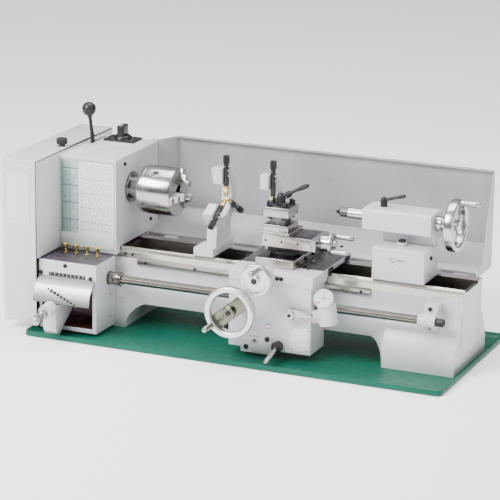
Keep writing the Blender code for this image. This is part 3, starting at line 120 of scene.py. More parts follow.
class Tree:
    """The node tree of one material."""

    def __init__(self, name, colour):
        self.material = bpy.data.materials.new(name)
        self.material.use_nodes = True
        self.material.diffuse_color = (*colour, 1.0)
        self.nodes = self.material.node_tree.nodes
        self.links = self.material.node_tree.links
        self.shader = self.nodes["Principled BSDF"]
        self.set("Base Color", (*colour, 1.0))

    def feed(self, socket, value):
        if isinstance(value, Value):
            self.links.new(value.socket, socket)
        else:
            socket.default_value = value

    def set(self, name, value):
        self.feed(self.shader.inputs[name], value)
        return self

    def make(self, kind, settings, inputs, output=0):
        node = self.nodes.new(kind)
        for name, value in settings.items():
            setattr(node, name, value)
        pairs = inputs.items() if isinstance(inputs, dict) else enumerate(inputs)
        for key, value in pairs:
            self.feed(node.inputs[key], value)
        return Value(self, node.outputs[output])

    def place(self, stretch=(1.0, 1.0, 1.0)):
        """Object coordinates in metres, stretched."""
        point = Value(self, self.nodes.new("ShaderNodeTexCoord").outputs["Object"])
        return self.make("ShaderNodeVectorMath", {"operation": "MULTIPLY"}, (point, stretch))

    def axes(self):
        node = self.make("ShaderNodeSeparateXYZ", {}, (self.place(),)).socket.node
        return [Value(self, output) for output in node.outputs]

    def noise(self, scale, detail=3.0, roughness=0.55, stretch=(1.0, 1.0, 1.0)):
        inputs = {"Vector": self.place(stretch), "Scale": scale, "Detail": detail, "Roughness": roughness}
        return self.make("ShaderNodeTexNoise", {}, inputs)

    def spread(self, value, low, high, to_low=0.0, to_high=1.0):
        return self.make("ShaderNodeMapRange", {}, (value, low, high, to_low, to_high))

    def mix(self, factor, first, second):
        node = self.nodes.new("ShaderNodeMix")
        node.data_type = "RGBA"
        self.feed(node.inputs["Factor"], factor)
        for number, colour in ((6, first), (7, second)):
            self.feed(node.inputs[number], colour if isinstance(colour, Value) else (*colour, 1.0))
        return Value(self, node.outputs[2])

    def bump(self, height, strength, distance):
        inputs = {"Height": height, "Strength": strength, "Distance": distance}
        self.set("Normal", self.make("ShaderNodeBump", {}, inputs))
        return self


# ---- materials


def cast_paint(name, colour, grain=0.35, dirt=0.1):
    """Sprayed enamel over a casting: faint orange peel, soft clouding and a little grime low down."""
    tree = Tree(name, colour)
    clouds = tree.noise(9.0, 3.0)
    grime = tree.spread(tree.noise(38.0, 6.0, 0.7), 0.52, 0.8)
    dark = tuple(part * (1.0 - 1.8 * dirt) for part in colour)
    light = tuple(min(1.0, part * 1.03) for part in colour)
    base = tree.mix(tree.spread(clouds, 0.35, 0.65), colour, light)
    tree.set("Base Color", tree.mix(grime * dirt * 2.0, base, dark))
    tree.set("Roughness", tree.spread(tree.noise(120.0, 2.0), 0.3, 0.7, 0.3, 0.4))
    tree.set("Coat Weight", 0.25).set("Coat Roughness", 0.18)
    peel = tree.noise(900.0, 2.0) + tree.noise(260.0, 2.0) * 0.8
    return tree.bump(peel, grain, 0.00025).material


def brushed(name, colour, along="X", roughness=0.28, scratch=0.25):
    """Ground metal: fine lines along one axis, with a few wider streaks."""
    stretch = [420.0, 420.0, 420.0]
    stretch["XYZ".index(along)] = 6.0
    tree = Tree(name, colour)
    lines = tree.noise(4.0, 4.0, 0.7, tuple(stretch))
    broad = tree.noise(0.6, 2.0, 0.5, tuple(stretch))
    patches = tree.noise(22.0, 3.0)
    dark = tuple(part * 0.8 for part in colour)
    shade = tree.spread(lines, 0.3, 0.7) * 0.5 + tree.spread(patches, 0.35, 0.7) * 0.5
    tree.set("Base Color", tree.mix(shade.clamp(), dark, colour))
    tree.set("Metallic", 1.0)
    tree.set("Roughness", (tree.spread(broad, 0.3, 0.7, -0.05, 0.07) + roughness).clamp())
    return tree.bump(lines, scratch, 0.00006).material


def turned_metal(name, colour, axis, centre, roughness=0.22, rings=2600.0):
    """Lathe-turned metal: fine rings round an axis."""
    tree = Tree(name, colour)
    coordinates = tree.axes()
    index = "XYZ".index(axis)
    parts = [coordinates[number] - centre[number] for number in range(3) if number != index]
    radius = (parts[0] * parts[0] + parts[1] * parts[1]).maths("SQRT")
    sweep = radius + coordinates[index]
    inputs = {"W": sweep * rings, "Scale": 1.0, "Detail": 3.0, "Roughness": 0.7}
    lines = tree.make("ShaderNodeTexNoise", {"noise_dimensions": "1D"}, inputs)
    patches = tree.noise(30.0, 3.0)
    dark = tuple(part * 0.82 for part in colour)
    shade = tree.spread(lines, 0.3, 0.7) * 0.6 + patches * 0.4
    tree.set("Base Color", tree.mix(shade.clamp(), dark, colour))
    tree.set("Metallic", 1.0)
    tree.set("Roughness", (tree.spread(patches, 0.3, 0.7, -0.04, 0.06) + roughness).clamp())
    return tree.bump(lines, 0.22, 0.00005).material


def green_enamel(name, colour):
    """Thick, slightly uneven paint on a pressed sheet."""
    tree = Tree(name, colour)
    light = tuple(min(1.0, part * 1.35 + 0.002) for part in colour)
    tree.set("Base Color", tree.mix(tree.spread(tree.noise(7.0, 3.0), 0.35, 0.7), colour, light))
    tree.set("Roughness", tree.spread(tree.noise(60.0, 3.0), 0.3, 0.7, 0.36, 0.48))
    tree.set("Specular IOR Level", 0.28)
    return tree.bump(tree.noise(500.0, 2.0), 0.3, 0.0002).material


def dull(name, colour, roughness, metallic=0.0, grain=0.2, scale=700.0):
    """A plain dark or moulded surface with fine grain."""
    tree = Tree(name, colour)
    light = tuple(min(1.0, part * 1.5 + 0.004) for part in colour)
    tree.set("Base Color", tree.mix(tree.spread(tree.noise(60.0, 4.0), 0.4, 0.75), colour, light))
    tree.set("Metallic", metallic)
    tree.set("Roughness", tree.spread(tree.noise(90.0, 3.0), 0.3, 0.7, roughness - 0.06, roughness + 0.08))
    return tree.bump(tree.noise(scale, 2.0), grain, 0.0001).material


def sheet_paint(name, colour):
    """Smooth enamel on thin sheet, with a slow wave."""
    tree = Tree(name, colour)
    clouds = tree.noise(5.0, 2.0)
    dark = tuple(part * 0.93 for part in colour)
    tree.set("Base Color", tree.mix(tree.spread(clouds, 0.3, 0.7), dark, colour))
    tree.set("Roughness", tree.spread(tree.noise(40.0, 3.0), 0.3, 0.7, 0.26, 0.36))
    tree.set("Coat Weight", 0.3).set("Coat Roughness", 0.2)
    return tree.bump(tree.noise(14.0, 1.0) + tree.noise(1100.0, 1.0) * 0.02, 0.35, 0.0015).material


def chart_plate(name):
    """A printed plate: a sea-green column of empty boxes on the left, a table of ticks, a bare lower band."""
    tree = Tree(name, (0.86, 0.88, 0.88))
    x, _, z = tree.axes()
    table = z.above(0.194) * z.below(0.334)
    boxes = (((z * 28.0).fraction()).below(0.07) + ((x * 58.0 + 0.02).fraction()).below(0.07)).clamp()
    strokes = tree.noise(1.0, 2.0, 0.5, (160.0, 0.0, 230.0)).above(0.6)
    figures = (boxes + strokes * 0.7).clamp() * table * x.above(-0.397) * x.below(-0.36)
    corner = ((x * 520.0).maths("FLOOR"), (z * 400.0).maths("FLOOR"), 0.0)
    cell = tree.make("ShaderNodeCombineXYZ", {}, corner)
    filled = tree.make("ShaderNodeTexWhiteNoise", {"noise_dimensions": "3D"}, (cell,)).above(0.42)
    ticks = filled * ((z * 400.0).fraction()).above(0.35) * ((x * 520.0).fraction()).above(0.25)
    rules = (((z * 33.0).fraction()).below(0.035) + ((x * 36.0).fraction()).below(0.03)).clamp()
    ruled = (ticks * 0.75 + rules * 0.6).clamp() * table * x.above(-0.356) * x.below(-0.283)
    white = tree.mix(tree.spread(z, 0.16, 0.22), (0.62, 0.72, 0.66), (0.84, 0.84, 0.85))
    column = tree.mix(tree.spread(x, -0.398, -0.354), (0.17, 0.27, 0.26), (0.55, 0.66, 0.64))
    base = tree.mix(x.below(-0.358) * z.above(0.188), white, column)
    base = tree.mix(figures * 0.75, base, (0.05, 0.09, 0.1))
    base = tree.mix(ruled, base, (0.2, 0.2, 0.24))
    border = (x.below(-0.399) + x.above(-0.28) + z.above(0.3385) + z.below(0.1605)).clamp()
    tree.set("Base Color", tree.mix(border, base, (0.42, 0.44, 0.45)))
    tree.set("Roughness", 0.3)
    return tree.bump(tree.noise(600.0, 2.0), 0.1, 0.0001).material


def blank_plate(name, colour):
    """A pale plate with a fine ruled frame near its edge; it has nothing printed on it."""
    tree = Tree(name, colour)
    x, _, z = tree.axes()
    low, high = z.below(0.218), z.above(0.327)
    line = ((x + 0.47).absolute().below(0.002) + (x + 0.4165).absolute().below(0.0015) + low + high).clamp()
    tree.set("Base Color", tree.mix(line * 0.35, colour, (0.3, 0.3, 0.34)))
    tree.set("Roughness", 0.34)
    return tree.material


def make_materials():
    middle = (0.0, 0.0, AXIS_Z)
    steel = (0.47, 0.455, 0.43)
    bright = (0.6, 0.59, 0.575)
    return {
        "paint": cast_paint("grey_enamel", (0.62, 0.622, 0.645)),
        # painted shade: a darker copy of the grey enamel for the motor at the back
        "paint_dark": cast_paint("grey_enamel_shaded", (0.42, 0.42, 0.46)),
        "inside": cast_paint("red_brown_primer", (0.075, 0.025, 0.018), 0.6, 0.2),
        # painted shade: near-black faces for the trough between the ways, where shadow falls
        "trough": dull("trough_painted_shade", (0.03, 0.024, 0.02), 0.5, 0.0, 0.6),
        # painted reflection and shade: dark ground steel for upward faces of the saddle and slides
        "top_reflection_shade": brushed("ground_painted_reflection_shade", (0.11, 0.1, 0.105), "Y", 0.26),
        # painted reflection: a dark lilac for the gearbox's upward faces, standing in for what the top
        # reflects
        "gearbox_top_reflection": dull("lilac_painted_reflection", (0.04, 0.033, 0.045), 0.3, 0.0, 0.1),
        "tray": green_enamel("green_enamel", (0.0, 0.085, 0.052)),
        "guard": sheet_paint("guard_enamel", (0.4, 0.395, 0.415)),
        "way": brushed("ground_way", (0.6, 0.57, 0.52), "X", 0.22),
        "steel_x": brushed("ground_steel_x", steel, "X"),
        "steel_y": brushed("ground_steel_y", (0.56, 0.52, 0.48), "Y", 0.3),
        "plate": brushed("brushed_plate", (0.5, 0.5, 0.5), "X", 0.3, 0.4),
        "face": brushed("brushed_face", (0.36, 0.355, 0.34), "X", 0.34, 0.5),
        "chuck": turned_metal("turned_chuck", (0.52, 0.51, 0.5), "X", middle, 0.19),
        "nose": turned_metal("turned_nose", (0.3, 0.29, 0.28), "X", middle, 0.22),
        "axis_x": turned_metal("turned_spindle_line", bright, "X", middle, 0.22),
        "screw": turned_metal("turned_leadscrew", (0.27, 0.25, 0.23), "X", SCREW_LINE, 0.2),
        "wheel": turned_metal("turned_wheel", (0.8, 0.8, 0.8), "Y", CARRIAGE_WHEEL, 0.34),
        "wheel_dark": turned_metal("turned_hub", (0.2, 0.2, 0.15), "Y", CARRIAGE_WHEEL, 0.24),
        "cross": turned_metal("turned_cross_wheel", (0.78, 0.78, 0.78), "Y", CROSS_WHEEL, 0.32),
        "top_wheel": turned_metal("turned_compound_wheel", bright, "X",
            (0, COMPOUND_WHEEL_Y, COMPOUND_WHEEL_Z), 0.2),
        "oxide": dull("black_oxide", (0.014, 0.014, 0.016), 0.4, 0.3, 0.15),
        # dark steel for dark parts, and painted shade on the tool post's inner slot faces
        "dark_steel": dull("dark_steel", (0.1, 0.095, 0.1), 0.3, 0.9, 0.1),
        "brass": dull("brass", (0.6, 0.5, 0.2), 0.26, 1.0, 0.1),
        "black": dull("black_plastic", (0.008, 0.008, 0.009), 0.38),
        "rubber": dull("belt_rubber", (0.014, 0.014, 0.014), 0.75, 0.0, 0.5),
        "mark": dull("engraved_black", (0.01, 0.01, 0.01), 0.6),
        "red": dull("red_enamel", (0.55, 0.03, 0.02), 0.4),
        "silver": turned_metal("dial_silver", (0.7, 0.7, 0.69), "Y", (0.207, 0, 0.143), 0.34),
        "white": dull("white_enamel", (0.8, 0.8, 0.79), 0.35, 0.0, 0.1),
        "chart": chart_plate("printed_plate"),
        "blank": blank_plate("bare_plate", (0.72, 0.73, 0.74)),
    }


MATERIALS = {}

# ---- pieces


def to_mesh(bm, name):
    bmesh.ops.recalc_face_normals(bm, faces=bm.faces)
    mesh = bpy.data.meshes.new(name)
    bm.to_mesh(mesh)
    bm.free()
    return mesh


def link_object(name, data):
    obj = bpy.data.objects.new(name, data)
    bpy.context.scene.collection.objects.link(obj)
    return obj


def evaluated_mesh(obj):
    return bpy.data.meshes.new_from_object(obj.evaluated_get(bpy.context.evaluated_depsgraph_get()))


def emit(bm, name, material, body, *nodes, slot=None, angle=32.0):
    """Turns the bmesh into a finished piece that rides on a body and stands for the CAD nodes."""
    return place_mesh(to_mesh(bm, name), name, material, body, *nodes, slot=slot, angle=angle)


class Piece:
    """A bmesh to add shapes to; leaving the with block makes it a piece, repeated if that is asked."""

    def __init__(self, name, material, body, *nodes, slot=None, angle=32.0, repeat=None):
        self.given = (name, material, body, *nodes)
        self.named = {"slot": slot, "angle": angle}
        self.repeat = repeat

    def __enter__(self):
        self.bm = bmesh.new()
        return self.bm

    def __exit__(self, trouble, *_):
        if trouble is None and self.repeat:
            repeated(self.bm, *self.given, self.repeat)
        elif trouble is None:
            emit(self.bm, *self.given, **self.named)


def place_mesh(mesh, name, material, body, *nodes, slot=None, angle=32.0):
    names = [material] if isinstance(material, str) else list(material)
    mesh.materials.clear()
    for key in names:
        mesh.materials.append(MATERIALS[key])
    mesh.shade_smooth()
    mesh.set_sharp_from_angle(angle=math.radians(angle))
    obj = link_object(name, mesh)
    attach(obj, body)
    if nodes:
        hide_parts(*nodes)
    return obj


def across(direction):
    """Two unit vectors square to the direction."""
    unit = Vector(direction).normalized()
    other = Vector((0, 0, 1)) if abs(unit.z) < 0.9 else Vector((1, 0, 0))
    first = other.cross(unit).normalized()
    return unit, first, unit.cross(first)


def add_skin(bm, rings):
    """Joins rings of equally many points with four-sided faces, and closes both ends."""
    for near, far in zip(rings, rings[1:]):
        for step, point in enumerate(near):
            after = (step + 1) % len(near)
            bm.faces.new((point, near[after], far[after], far[step]))
    bm.faces.new(rings[0][::-1])
    bm.faces.new(rings[-1])


def add_turned(bm, profile, start, direction, segments=48, turn=0.0):
    """A profile of (distance, radius) points turned round the line from start."""
    unit, first, second = across(direction)
    start = Vector(start)
    rings = []
    for distance, radius in profile:
        middle = start + unit * distance
        if radius < 1e-7:
            rings.append([bm.verts.new(middle)])
            continue
        ring = []
        for step in range(segments):
            angle = turn + 2 * math.pi * step / segments
            reach = first * radius * math.cos(angle) + second * radius * math.sin(angle)
            ring.append(bm.verts.new(middle + reach))
        rings.append(ring)
    closed = len(rings[0]) > 1
    pairs = list(zip(rings, rings[1:] + rings[:1])) if closed else list(zip(rings, rings[1:]))
    for near, far in pairs:
        for step in range(segments):
            after = (step + 1) % segments
            if len(near) == 1 and len(far) == 1:
                break
            if len(near) == 1:
                bm.faces.new((near[0], far[step], far[after]))
            elif len(far) == 1:
                bm.faces.new((near[step], far[0], near[after]))
            else:
                bm.faces.new((near[step], far[step], far[after], near[after]))


def add_rod(bm, start, end, radius, segments=24, chamfer=0.0006):
    length = (Vector(end) - Vector(start)).length
    edge = min(chamfer, radius * 0.4, length * 0.3)
    profile = [
        (0, 0), (0, radius - edge), (edge * 0.3, radius - edge * 0.3), (edge, radius),
        (length - edge, radius), (length - edge * 0.3, radius - edge * 0.3), (length, radius - edge),
        (length, 0),
    ]
    add_turned(bm, profile, start, Vector(end) - Vector(start), segments)


def rounded(bm, fresh, width, segments=2, shortest=0.0):
    """Bevels the sharp edges among these faces' edges."""
    bm.normal_update()
    limit = math.radians(30.0)
    edges = []
    for edge in dict.fromkeys(edge for face in fresh for edge in face.edges):
        if len(edge.link_faces) == 2 and edge.calc_length() > shortest:
            if edge.link_faces[0].normal.angle(edge.link_faces[1].normal, 0.0) > limit:
                edges.append(edge)
    if edges and width > 0:
        bmesh.ops.bevel(
            bm, geom=edges, offset=width, offset_type="OFFSET", segments=segments, profile=0.5,
            affect="EDGES", clamp_overlap=True,
        )


def add_box(bm, low, high, width=0.0008, segments=2, turn=None):
    size = [b - a for a, b in zip(low, high)]
    middle = Vector([(a + b) / 2 for a, b in zip(low, high)])
    matrix = Matrix.Translation(middle) @ (turn or Matrix.Identity(4)) @ Matrix.Diagonal((*size, 1.0))
    made = bmesh.ops.create_cube(bm, size=1.0, matrix=matrix)
    faces = list(dict.fromkeys(face for vert in made["verts"] for face in vert.link_faces))
    rounded(bm, faces, min(width, min(size) * 0.3), segments)


def along(axis, first, second, value):
    point = [first, second]
    point.insert("XYZ".index(axis), value)
    return Vector(point)


def extrude(bm, face, reach):
    """Pushes a face out; returns the moved corners."""
    made = bmesh.ops.extrude_face_region(bm, geom=[face])
    moved = [item for item in made["geom"] if isinstance(item, bmesh.types.BMVert)]
    bmesh.ops.translate(bm, verts=moved, vec=reach)
    return moved


def add_prism(bm, outline, axis, low, high, width=0.0008, segments=2, shortest=0.0):
    corners = [bm.verts.new(along(axis, a, b, low)) for a, b in outline]
    face = bm.faces.new(corners)
    moved = extrude(bm, face, along(axis, 0.0, 0.0, high - low))
    faces = list(dict.fromkeys(linked for vert in corners + moved for linked in vert.link_faces))
    bmesh.ops.recalc_face_normals(bm, faces=faces)
    rounded(bm, faces, width, segments, shortest)


def add_cap_screw(bm, place, direction, radius=0.003, height=0.003):
    """A socket-head screw: a chamfered head with a six-sided socket."""
    edge = radius * 0.12
    profile = [
        (-0.0005, 0), (-0.0005, radius), (height - edge, radius), (height, radius - edge),
        (height, radius * 0.58),
    ]
    add_turned(bm, profile + [(height * 0.45, radius * 0.5), (height * 0.45, 0)], place, direction, 24)


def add_hex(bm, place, direction, radius, height):
    edge = radius * 0.12
    profile = [(0, 0), (0, radius), (height - edge, radius), (height, radius - edge * 1.4), (height, 0)]
    add_turned(bm, profile, place, direction, 6)


def add_knurl(bm, start, direction, radius, length, teeth=36, depth=0.0004):
    """A knurled grip: straight ridges between chamfered ends."""
    unit, first, second = across(direction)
    start = Vector(start)
    edge = 0.0008
    rings = []
    for distance, shrink in ((0, 1.6 * edge), (edge, 0), (length - edge, 0), (length, 1.6 * edge)):
        ring = []
        for step in range(teeth * 2):
            angle = math.pi * step / teeth
            reach = radius - shrink - (depth if step % 2 else 0.0)
            outward = first * math.cos(angle) + second * math.sin(angle)
            ring.append(bm.verts.new(start + unit * distance + outward * reach))
        rings.append(ring)
    add_skin(bm, rings)


def cad_shape(node):
    """A copy of a CAD node's mesh with its flat faces made whole again."""
    bm = bmesh.new()
    bm.from_mesh(bpy.data.objects[node].data)
    bmesh.ops.remove_doubles(bm, verts=bm.verts, dist=1e-6)
    bmesh.ops.dissolve_limit(bm, angle_limit=math.radians(0.5), verts=bm.verts, edges=bm.edges)
    return bm


def soften(node, material, body, width=0.0012, segments=2, shortest=0.0, name=None, slot=None):
    """The CAD shape with its edges rounded, standing for the node."""
    bm = cad_shape(node)
    rounded(bm, list(bm.faces), width, segments, shortest)
    return emit(bm, name or f"{node}_shape", material, body, node, slot=slot)


def split_plane(bm, point, normal):
    """Cuts every face that crosses the plane in two."""
    everything = bm.verts[:] + bm.edges[:] + bm.faces[:]
    bmesh.ops.bisect_plane(bm, geom=everything, plane_co=point, plane_no=normal)


def paint_faces(obj, rule):
    """Gives each face the material number that the rule returns for its centre and normal."""
    for face in obj.data.polygons:
        face.material_index = rule(face.center, face.normal)
    return obj


# ---- repeats


def repeat_group(ring):
    """A node group that repeats the mesh along a line or round an axis."""
    name = "Repeat round axis" if ring else "Repeat along line"
    if name in bpy.data.node_groups:
        return bpy.data.node_groups[name]
    group = bpy.data.node_groups.new(name, "GeometryNodeTree")
    kinds = {"Geometry": "Geometry", "Count": "Int"}
    kinds.update({"Axis": "Vector", "Centre": "Vector", "Angle": "Float"} if ring else {"Step": "Vector"})
    kinds["Material"] = "Material"
    for socket, kind in kinds.items():
        group.interface.new_socket(socket, in_out="INPUT", socket_type="NodeSocket" + kind)
    group.interface.new_socket("Geometry", in_out="OUTPUT", socket_type="NodeSocketGeometry")
    given, result, line, copies, solid, paint = (group.nodes.new(kind) for kind in (
        "NodeGroupInput", "NodeGroupOutput", "GeometryNodeMeshLine", "GeometryNodeInstanceOnPoints",
        "GeometryNodeRealizeInstances", "GeometryNodeSetMaterial",
    ))
    wires = [
        (given, "Count", line, "Count"), (line, "Mesh", copies, "Points"),
        (given, "Material", paint, "Material"), (copies, "Instances", solid, "Geometry"),
        (paint, "Geometry", result, "Geometry"),
    ]
    if ring:
        line.inputs["Offset"].default_value = (0, 0, 0)
        back, forth, minus, index, turn, spin = (group.nodes.new(kind) for kind in (
            "GeometryNodeTransform", "GeometryNodeTransform", "ShaderNodeVectorMath",
            "GeometryNodeInputIndex",
            "ShaderNodeMath", "FunctionNodeAxisAngleToRotation",
        ))
        minus.operation, turn.operation = "SCALE", "MULTIPLY"
        minus.inputs["Scale"].default_value = -1.0
        wires += [
            (given, "Centre", minus, 0), (minus, 0, back, "Translation"),
            (given, "Geometry", back, "Geometry"),
            (back, "Geometry", copies, "Instance"), (index, 0, turn, 0), (given, "Angle", turn, 1),
            (given, "Axis", spin, "Axis"), (turn, 0, spin, "Angle"), (spin, 0, copies, "Rotation"),
            (given, "Centre", forth, "Translation"), (solid, "Geometry", forth, "Geometry"),
            (forth, "Geometry", paint, "Geometry"),
        ]
    else:
        wires += [
            (given, "Step", line, "Offset"), (given, "Geometry", copies, "Instance"),
            (solid, "Geometry", paint, "Geometry"),
        ]
    for source, output, target, socket in wires:
        group.links.new(source.outputs[output], target.inputs[socket])
    return group


def in_row(count, step):
    return {"Count": count, "Step": step}


def in_circle(count, axis, centre):
    return {"Count": count, "Axis": axis, "Centre": centre, "Angle": 2 * math.pi / count}


def repeated(bm, name, material, body, inputs):
    """Repeats the bmesh with the named inputs of a repeat group, as one plain mesh."""
    seed = link_object(name + "_seed", to_mesh(bm, name))
    group = repeat_group("Axis" in inputs)
    modifier = seed.modifiers.new("repeat", "NODES")
    modifier.node_group = group
    sockets = {item.name: item.identifier for item in group.interface.items_tree if item.in_out == "INPUT"}
    modifier[sockets["Material"]] = MATERIALS[material]
    for key, value in inputs.items():
        modifier[sockets[key]] = value
    result = evaluated_mesh(seed)
    bpy.data.objects.remove(seed, do_unlink=True)
    return place_mesh(result, name, material, body)


def cut_with(bm, cutters):
    """Subtracts the cutter bmeshes from the bmesh."""
    objects = []
    for number, shape in enumerate([bm, *cutters]):
        objects.append(link_object(f"cut_step_{number}", to_mesh(shape, "cut_step")))
    for cutter in objects[1:]:
        modifier = objects[0].modifiers.new("cut", "BOOLEAN")
        modifier.operation = "DIFFERENCE"
        modifier.solver = "EXACT"
        modifier.object = cutter
    result = evaluated_mesh(objects[0])
    for obj in objects:
        bpy.data.objects.remove(obj, do_unlink=True)
    made = bmesh.new()
    made.from_mesh(result)
    return made


def lettering(text, name, height, matrix, material, body, slot=None):
    """Raised figures placed by a matrix whose Z is their normal."""
    curve = bpy.data.curves.new(name, "FONT")
    curve.body = text
    curve.size = height
    curve.align_x, curve.align_y = "CENTER", "CENTER"
    curve.extrude = 0.00012
    curve.resolution_u = 3
    source = link_object(name + "_text", curve)
    mesh = evaluated_mesh(source)
    bpy.data.objects.remove(source, do_unlink=True)
    mesh.transform(matrix)
    return place_mesh(mesh, name, material, body, slot=slot)


def facing(origin, normal, up):
    """A matrix with its Z along the normal and its Y close to up."""
    z = Vector(normal).normalized()
    x = Vector(up).cross(z).normalized()
    matrix = Matrix((x, z.cross(x), z)).transposed().to_4x4()
    matrix.translation = Vector(origin)
    return matrix


# ---- base


def tray_ring(low, high, inset, height, radius=0.012, steps=6):
    """A rounded rectangle this far inside the tray's outline."""
    bend = max(radius - inset, 0.002)
    points = []
    corners = ((high.x, high.y, 0), (low.x, high.y, 90), (low.x, low.y, 180), (high.x, low.y, 270))
    for x, y, start in corners:
        sx, sy = (1 if x > 0 else -1), (1 if y > 0 else -1)
        cx, cy = x - sx * (inset + bend), y - sy * (inset + bend)
        for step in range(steps + 1):
            angle = math.radians(start + 90 * step / steps)
            points.append((cx + bend * math.cos(angle), cy + bend * math.sin(angle), height))
    return points


def tray(settings):
    low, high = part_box("drip_tray")
    top = high.z
    with Piece("tray_pan", "tray", "frame", "drip_tray") as bm:
        levels = (
            (0.0015, 0.0), (0.0002, 0.0012), (0.0, 0.003), (0.0, top - 0.0016), (0.0005, top - 0.0004),
            (0.0016, top), (0.003, top - 0.0003), (0.004, top - 0.0014), (0.0115, 0.0035), (0.0145, 0.0021),
        )
        rings = [[bm.verts.new(p) for p in tray_ring(low, high, inset, z)] for inset, z in levels]
        add_skin(bm, rings)


def bed(settings):
    bm = cad_shape("bed")
    split_plane(bm, (0, 0, 0.1445), UP)
    rounded(bm, list(bm.faces), settings.edge * 2.0, 3, 0.012)
    piece = emit(bm, "bed_casting", ("paint", "way", "trough"), "frame", "bed")

    # Faces in the trough between the ways take the near-black painted shade; faces above the cut take the
    # ground way.
    def finish_of(centre, normal):
        if abs(centre.y) < 0.0332 and centre.x < 0.4525 and centre.z > 0.055:
            return 2
        return int(centre.z > 0.1447 and centre.x < 0.4595)

    paint_faces(piece, finish_of)
    low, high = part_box("rack")
    with Piece("rack_bar", "steel_x", "frame", "rack") as bm:
        add_box(bm, (low.x, low.y, low.z + 0.0026), high, 0.0004)
    pitch = math.pi * 0.001
    count = int((high.x - low.x) / pitch)
    with Piece("rack_teeth", "steel_x", "frame", repeat=in_row(count, (pitch, 0, 0))) as bm:
        outline = [
            (low.x, low.z + 0.0028), (low.x + pitch * 0.16, low.z + 0.0003),
            (low.x + pitch * 0.44, low.z + 0.0003), (low.x + pitch * 0.6, low.z + 0.0028),
        ]
        add_prism(bm, outline, "Y", low.y + 0.0001, high.y, 0.0)
    with Piece("rack_screws", "oxide", "frame") as bm:
        for x in (-0.215, -0.105, 0.15, 0.252):
            add_cap_screw(bm, (x, low.y, 0.1395), FRONT, 0.0028, 0.0022)
        for x, z in ((-0.262, 0.152), (-0.246, 0.152)):
            add_cap_screw(bm, (x, -0.0572, z), FRONT, 0.0026, 0.002)


# ---- headstock


def headstock(settings):
    piece = soften("headstock_casting", ("paint", "inside"), "frame", settings.edge * 2.4, 3, 0.03)
    paint_faces(piece, lambda c, n: int(-0.39 < c.x < -0.29 and -0.06 < c.y < 0.11 and 0.18 < c.z < 0.335))
    with Piece("chart_plate", "chart", "frame") as bm:
        add_box(bm, (-0.4005, -0.0751, 0.158), (-0.279, -0.0738, 0.342), 0.0004)
    with Piece("chart_rivets", "steel_y", "frame") as bm:
        for x in (-0.3975, -0.282):
            for z in (0.1615, 0.3385):
                dome = [(0, 0), (0, 0.0016), (0.0005, 0.0014), (0.0008, 0)]
                add_turned(bm, dome, (x, -0.0751, z), FRONT, 16)
    with Piece("headstock_screws", "oxide", "frame") as bm:
        add_cap_screw(bm, (-0.2752, -0.035, 0.333), RIGHT, 0.0038, 0.0035)
        add_cap_screw(bm, (-0.2752, 0.085, 0.19), RIGHT, 0.0038, 0.0035)
    with Piece("switch_plate", "black", "frame") as bm:
        add_box(bm, (-0.3785, 0.0745, 0.3475), (-0.3095, 0.1205, 0.3521), 0.001)
    with Piece("switch_marks", "white", "frame") as bm:
        for index in range(5):
            angle = math.radians(45 + 45 * (index - 2))
            x, y = SWITCH_X + 0.0215 * math.sin(angle), SWITCH_Y - 0.0195 * math.cos(angle)
            if abs(y - 0.0975) < 0.021:
                add_rod(bm, (x, y, 0.352), (x, y, 0.3523), 0.0008, 10, 0.0001)
    with Piece("switch_grip", "black", "switch", "switch_knob") as bm:
        profile = [(0, 0), (0, 0.018), (0.0012, 0.019), (0.004, 0.0182), (0.007, 0.015), (0.007, 0)]
        add_turned(bm, profile, (SWITCH_X, SWITCH_Y, 0.3519), UP, 48)
        outline = [
            (-0.352, 0.085), (-0.349, 0.0818), (-0.339, 0.0818), (-0.336, 0.085), (-0.3378, 0.111),
            (-0.341, 0.1143), (-0.347, 0.1143), (-0.3502, 0.111),
        ]
        add_prism(bm, outline, "Z", 0.356, 0.38, 0.0026, 4)
    with Piece("switch_pointer", "white", "switch") as bm:
        add_box(bm, (-0.3448, 0.085, 0.3798), (-0.3432, 0.0985, 0.3804), 0.0001)
    lever(settings)


def lever(settings):
    pivot = Vector((-0.392, 0.066, 0.3))
    ball = Vector((-0.392, 0.038, 0.421))
    with Piece("belt_lever_stem", "oxide", "belt_lever", "belt_lever", slot="ground_steel") as bm:
        add_rod(bm, pivot - Vector((0.0046, 0, 0)), pivot + Vector((0.0046, 0, 0)), 0.009, 32)
        unit = (ball - pivot).normalized()
        stem = [(0, 0), (0, 0.0044), (0.07, 0.0044), (0.072, 0.0036), (0.112, 0.0036), (0.112, 0)]
        add_turned(bm, stem, pivot, unit, 32)
    with Piece("belt_lever_ball", "black", "belt_lever") as bm:
        steps = 20
        profile = []
        for step in range(steps + 1):
            angle = math.pi * step / steps
            profile.append((0.0145 - 0.0145 * math.cos(angle), 0.0145 * math.sin(angle)))
        profile[0], profile[-1] = (0.0, 0.0), (0.029, 0.0)
        add_turned(bm, profile, ball - unit * 0.0145, unit, 40)
        add_turned(bm, [(0, 0), (0, 0.0048), (0.006, 0.0062), (0.006, 0)], ball - unit * 0.018, unit, 32)


def end_cover(settings):
    soften("end_cover", "paint", "end_cover", settings.edge * 3.0, 3, 0.05)
    with Piece("cover_plates", "blank", "end_cover") as bm:
        add_box(bm, (-0.47, -0.1766, 0.222), (-0.416, -0.1756, 0.33), 0.0004)
        add_box(bm, (-0.4046, -0.164, 0.215), (-0.4034, -0.086, 0.325), 0.0004)
    with Piece("cover_knob", "black", "end_cover_knob", "end_cover_knob") as bm:
        add_rod(bm, (-0.418, -0.033, 0.3553), (-0.418, -0.033, 0.36), 0.0068, 32)
        add_knurl(bm, (-0.418, -0.033, 0.3595), UP, 0.0112, 0.0118, 30, 0.0006)


# ---- chuck and spindle


